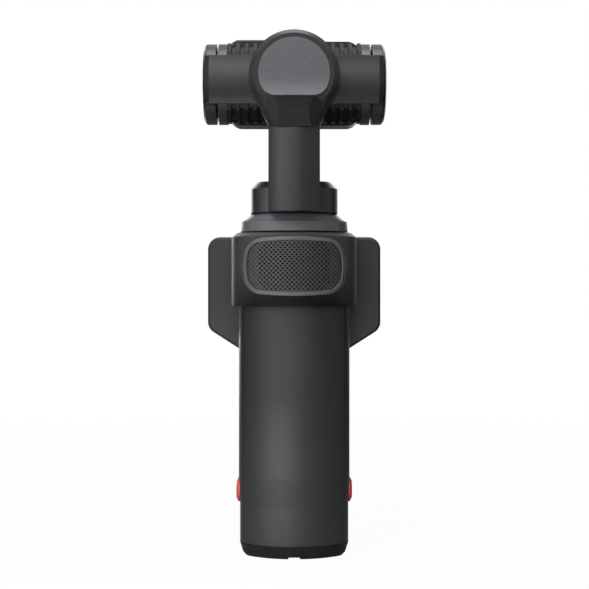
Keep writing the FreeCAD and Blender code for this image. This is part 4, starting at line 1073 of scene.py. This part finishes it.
@dataclass
class CameraModule(Assembly):
    """Camera body with its cooling fins and two lenses."""

    lenses: tuple[LensStack, ...] = (
        LensStack("main_lens", -9.2, 5.8, 14.3),
        LensStack("tele_lens", 11.0, 3.6, 13.5),
    )

    def build(self) -> None:
        """Dress the camera's shells, lenses and hubs, and fill the lenses' barrels."""
        self.dress(Finishes.FINS, "camera_back_shell")
        self.dress(Finishes.ARM, "camera_front_shell", "tilt_hub_left", "tilt_hub_right")
        self.dress(Finishes.RING, "main_lens_ring", "tele_lens_ring")
        self.dress(Finishes.BARREL, "main_lens_barrel", "tele_lens_barrel")
        self.dress(Finishes.LENS, "main_lens_glass", "tele_lens_glass")
        self.dress(Finishes.ROTOR, "tilt_rotor")
        self.dress(Finishes.BOARD, "sensor_board")
        for lens in self.lenses:
            lens.build()


@dataclass(frozen=True)
class Softbox:
    """A studio lamp with a rectangular diffuser."""

    name: str
    place: Point
    width: float
    height: float
    power: float
    target: Point = (0.0, 0.0, 0.09)

    def build(self) -> None:
        """Hang the lamp and turn it to its target."""
        lamp = bpy.data.lights.new(self.name, "AREA")
        lamp.shape = "RECTANGLE"
        lamp.size = self.width
        lamp.size_y = self.height
        lamp.energy = self.power
        holder = bpy.data.objects.new(self.name, lamp)
        holder.location = self.place
        holder.rotation_mode = "QUATERNION"
        away = Vector(self.place) - Vector(self.target)
        holder.rotation_quaternion = away.to_track_quat("Z", "Y")
        holder.visible_camera = False
        bpy.context.scene.collection.objects.link(holder)
        LOG.info("%s: %.2f W", self.name, self.power)


@dataclass
class Studio:
    """Pale floor, white surroundings, black cards, soft lamps and the camera."""

    floor_half: float = 3.0
    surround: float = 0.01
    shadow_near: float = 0.03
    shadow_far: float = 0.6
    paper_white: float = 0.97
    paper_colour: str = "9C9C9C"
    felt_colour: str = "050505"
    camera_place: Point = (0.0001, -0.4415, 0.0821)
    focal_length: float = 85.0
    sensor: float = 36.0
    clip_start: float = 0.01
    lamps: tuple[Softbox, ...] = (
        Softbox("key_softbox", (-0.55, -0.70, 0.18), 0.35, 0.9, 2.5),
        Softbox("side_softbox", (-0.73, -0.51, 0.18), 0.35, 0.9, 1.25),
        Softbox("centre_softbox", (-0.12, -0.88, 0.21), 0.60, 0.9, 2.05),
        Softbox("top_softbox", (0.0, 0.00, 0.62), 0.30, 0.16, 1.4, (0.0, 0.0, 0.15)),
        Softbox("front_softbox", (-0.12, -0.22, 0.30), 0.16, 0.16, 0.35),
        Softbox("glow_softbox", (0.0, -0.336, 0.301), 0.10, 0.06, 0.16, (0.0, -0.025, 0.142)),
        Softbox("table_softbox", (-0.015, -0.11, 0.08), 0.11, 0.10, 0.13, (-0.015, -0.11, 0.0)),
        Softbox("table_far_softbox", (-0.075, -0.16, 0.05), 0.13, 0.12, 1.0, (-0.075, -0.16, 0.0)),
        Softbox("far_key_softbox", (0.33, 0.72, 0.50), 0.40, 0.22, 0.6),
        Softbox("far_centre_softbox", (0.19, 0.86, 0.26), 0.24, 0.5, 0.5),
        Softbox("far_fill_softbox", (-0.45, 0.80, 0.20), 0.30, 0.8, 4.4),
    )
    card_distance: float = 0.30
    card_near: float = 0.02
    card_far: float = 0.25
    card_height: float = 0.35

    def build(self) -> None:
        """Set up the whole studio."""
        self.build_floor()
        self.build_cards()
        self.build_world()
        for lamp in self.lamps:
            lamp.build()
        self.build_camera()
        bpy.context.scene.view_settings.view_transform = "Standard"

    def seen_directly(self, tree: bpy.types.NodeTree) -> bpy.types.NodeSocket:
        """Return a socket that is 1 for camera, glossy and transmission rays, and 0 for others."""
        rays = add(tree, "LightPath").outputs
        either = calculate(tree, "MAXIMUM", rays["Is Camera Ray"], rays["Is Glossy Ray"])
        return calculate(tree, "MAXIMUM", either, rays["Is Transmission Ray"])

    def flat_sheet(
        self, name: str, places: Sequence[Point], material: bpy.types.Material
    ) -> bpy.types.Object:
        """Put up a flat sheet with four corners.

        Args:
            name: Name of the sheet.
            places: Its corners in order, in metres.
            material: Its material.

        Returns:
            The new object.
        """
        mesh = bpy.data.meshes.new(name)
        mesh.from_pydata(places, [], [(0, 1, 2, 3)])
        mesh.materials.append(material)
        sheet = bpy.data.objects.new(name, mesh)
        bpy.context.scene.collection.objects.link(sheet)
        return sheet

    def build_floor(self) -> None:
        """Lay a pale floor that looks white and keeps a soft shadow."""
        material, tree = bare_material("white_paper_sweep")
        paper = add(tree, "BsdfDiffuse", Color=linear(self.paper_colour))
        glow = add(tree, "Emission", Color=(1.0, 1.0, 1.0, 1.0), Strength=1.0)
        rays = add(tree, "LightPath")
        # Far from the object the paper is seen as pure white; near it the shadow shows.
        place = add(tree, "NewGeometry")
        reach = add(tree, "VectorMath", Vector=place.outputs["Position"])
        reach.operation = "LENGTH"
        share = add(
            tree,
            "MapRange",
            Value=reach.outputs["Value"],
            From_Min=self.shadow_near,
            From_Max=self.shadow_far,
            To_Min=self.paper_white,
            To_Max=1.0,
        )
        share.interpolation_type = "SMOOTHSTEP"
        seen = calculate(
            tree, "MULTIPLY", share.outputs["Result"], rays.outputs["Is Camera Ray"]
        )
        mix = add(tree, "MixShader", Fac=seen)
        tree.links.new(paper.outputs["BSDF"], mix.inputs[1])
        tree.links.new(glow.outputs["Emission"], mix.inputs[2])
        add(tree, "OutputMaterial", Surface=mix.outputs["Shader"])
        half = self.floor_half
        places = [(-half, -half, 0.0), (half, -half, 0.0), (half, half, 0.0), (-half, half, 0.0)]
        floor = self.flat_sheet("studio_floor", places, material)

    def build_cards(self) -> None:
        """Stand a black card at each side, which draws a dark line down every upright side."""
        material, tree = bare_material("black_card")
        felt = add(tree, "BsdfDiffuse", Color=linear(self.felt_colour))
        add(tree, "OutputMaterial", Surface=felt.outputs["BSDF"])
        near, far, top = self.card_near, self.card_far, self.card_height
        for name, side in (("black_card_left", -1), ("black_card_right", 1)):
            x = side * self.card_distance
            places = [(x, near, 0.0), (x, far, 0.0), (x, far, top), (x, near, top)]
            card = self.flat_sheet(name, places, material)
            card.visible_camera = False

    def build_world(self) -> None:
        """Surround the set with white that is seen, and a dimmer light that falls on the object."""
        world = bpy.data.worlds.new("studio_surround")
        world.use_nodes = True
        tree = world.node_tree
        tree.nodes.clear()
        strength = add(tree, "MapRange", Value=self.seen_directly(tree), To_Min=self.surround)
        light = add(
            tree, "Background", Color=(1.0, 1.0, 1.0, 1.0), Strength=strength.outputs["Result"]
        )
        add(tree, "OutputWorld", Surface=light.outputs["Background"])
        bpy.context.scene.world = world

    def build_camera(self) -> None:
        """Place the camera at the viewing height and distance of the picture."""
        data = bpy.data.cameras.new("studio_camera")
        data.lens = self.focal_length
        data.sensor_width = self.sensor
        data.sensor_fit = "HORIZONTAL"
        data.clip_start = self.clip_start
        camera = bpy.data.objects.new("studio_camera", data)
        camera.location = self.camera_place
        camera.rotation_euler = (math.pi / 2, 0.0, 0.0)
        bpy.context.scene.collection.objects.link(camera)
        bpy.context.scene.camera = camera


def corners(box: tuple[Vector, Vector]) -> list[list[float]]:
    """Return a box's two corners as plain lists."""
    return [list(box[0]), list(box[1])]


def main() -> None:
    """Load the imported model, dress it, build its fine pieces and set up the studio."""
    logging.basicConfig(level=logging.INFO, format="%(name)s %(message)s")
    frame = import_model()
    for assembly in (Handle, WindGuard, ScreenModule, PanArm, Yoke, CameraModule):
        assembly(frame).build()
    Studio().build()


if __name__ == "__main__":
    main()
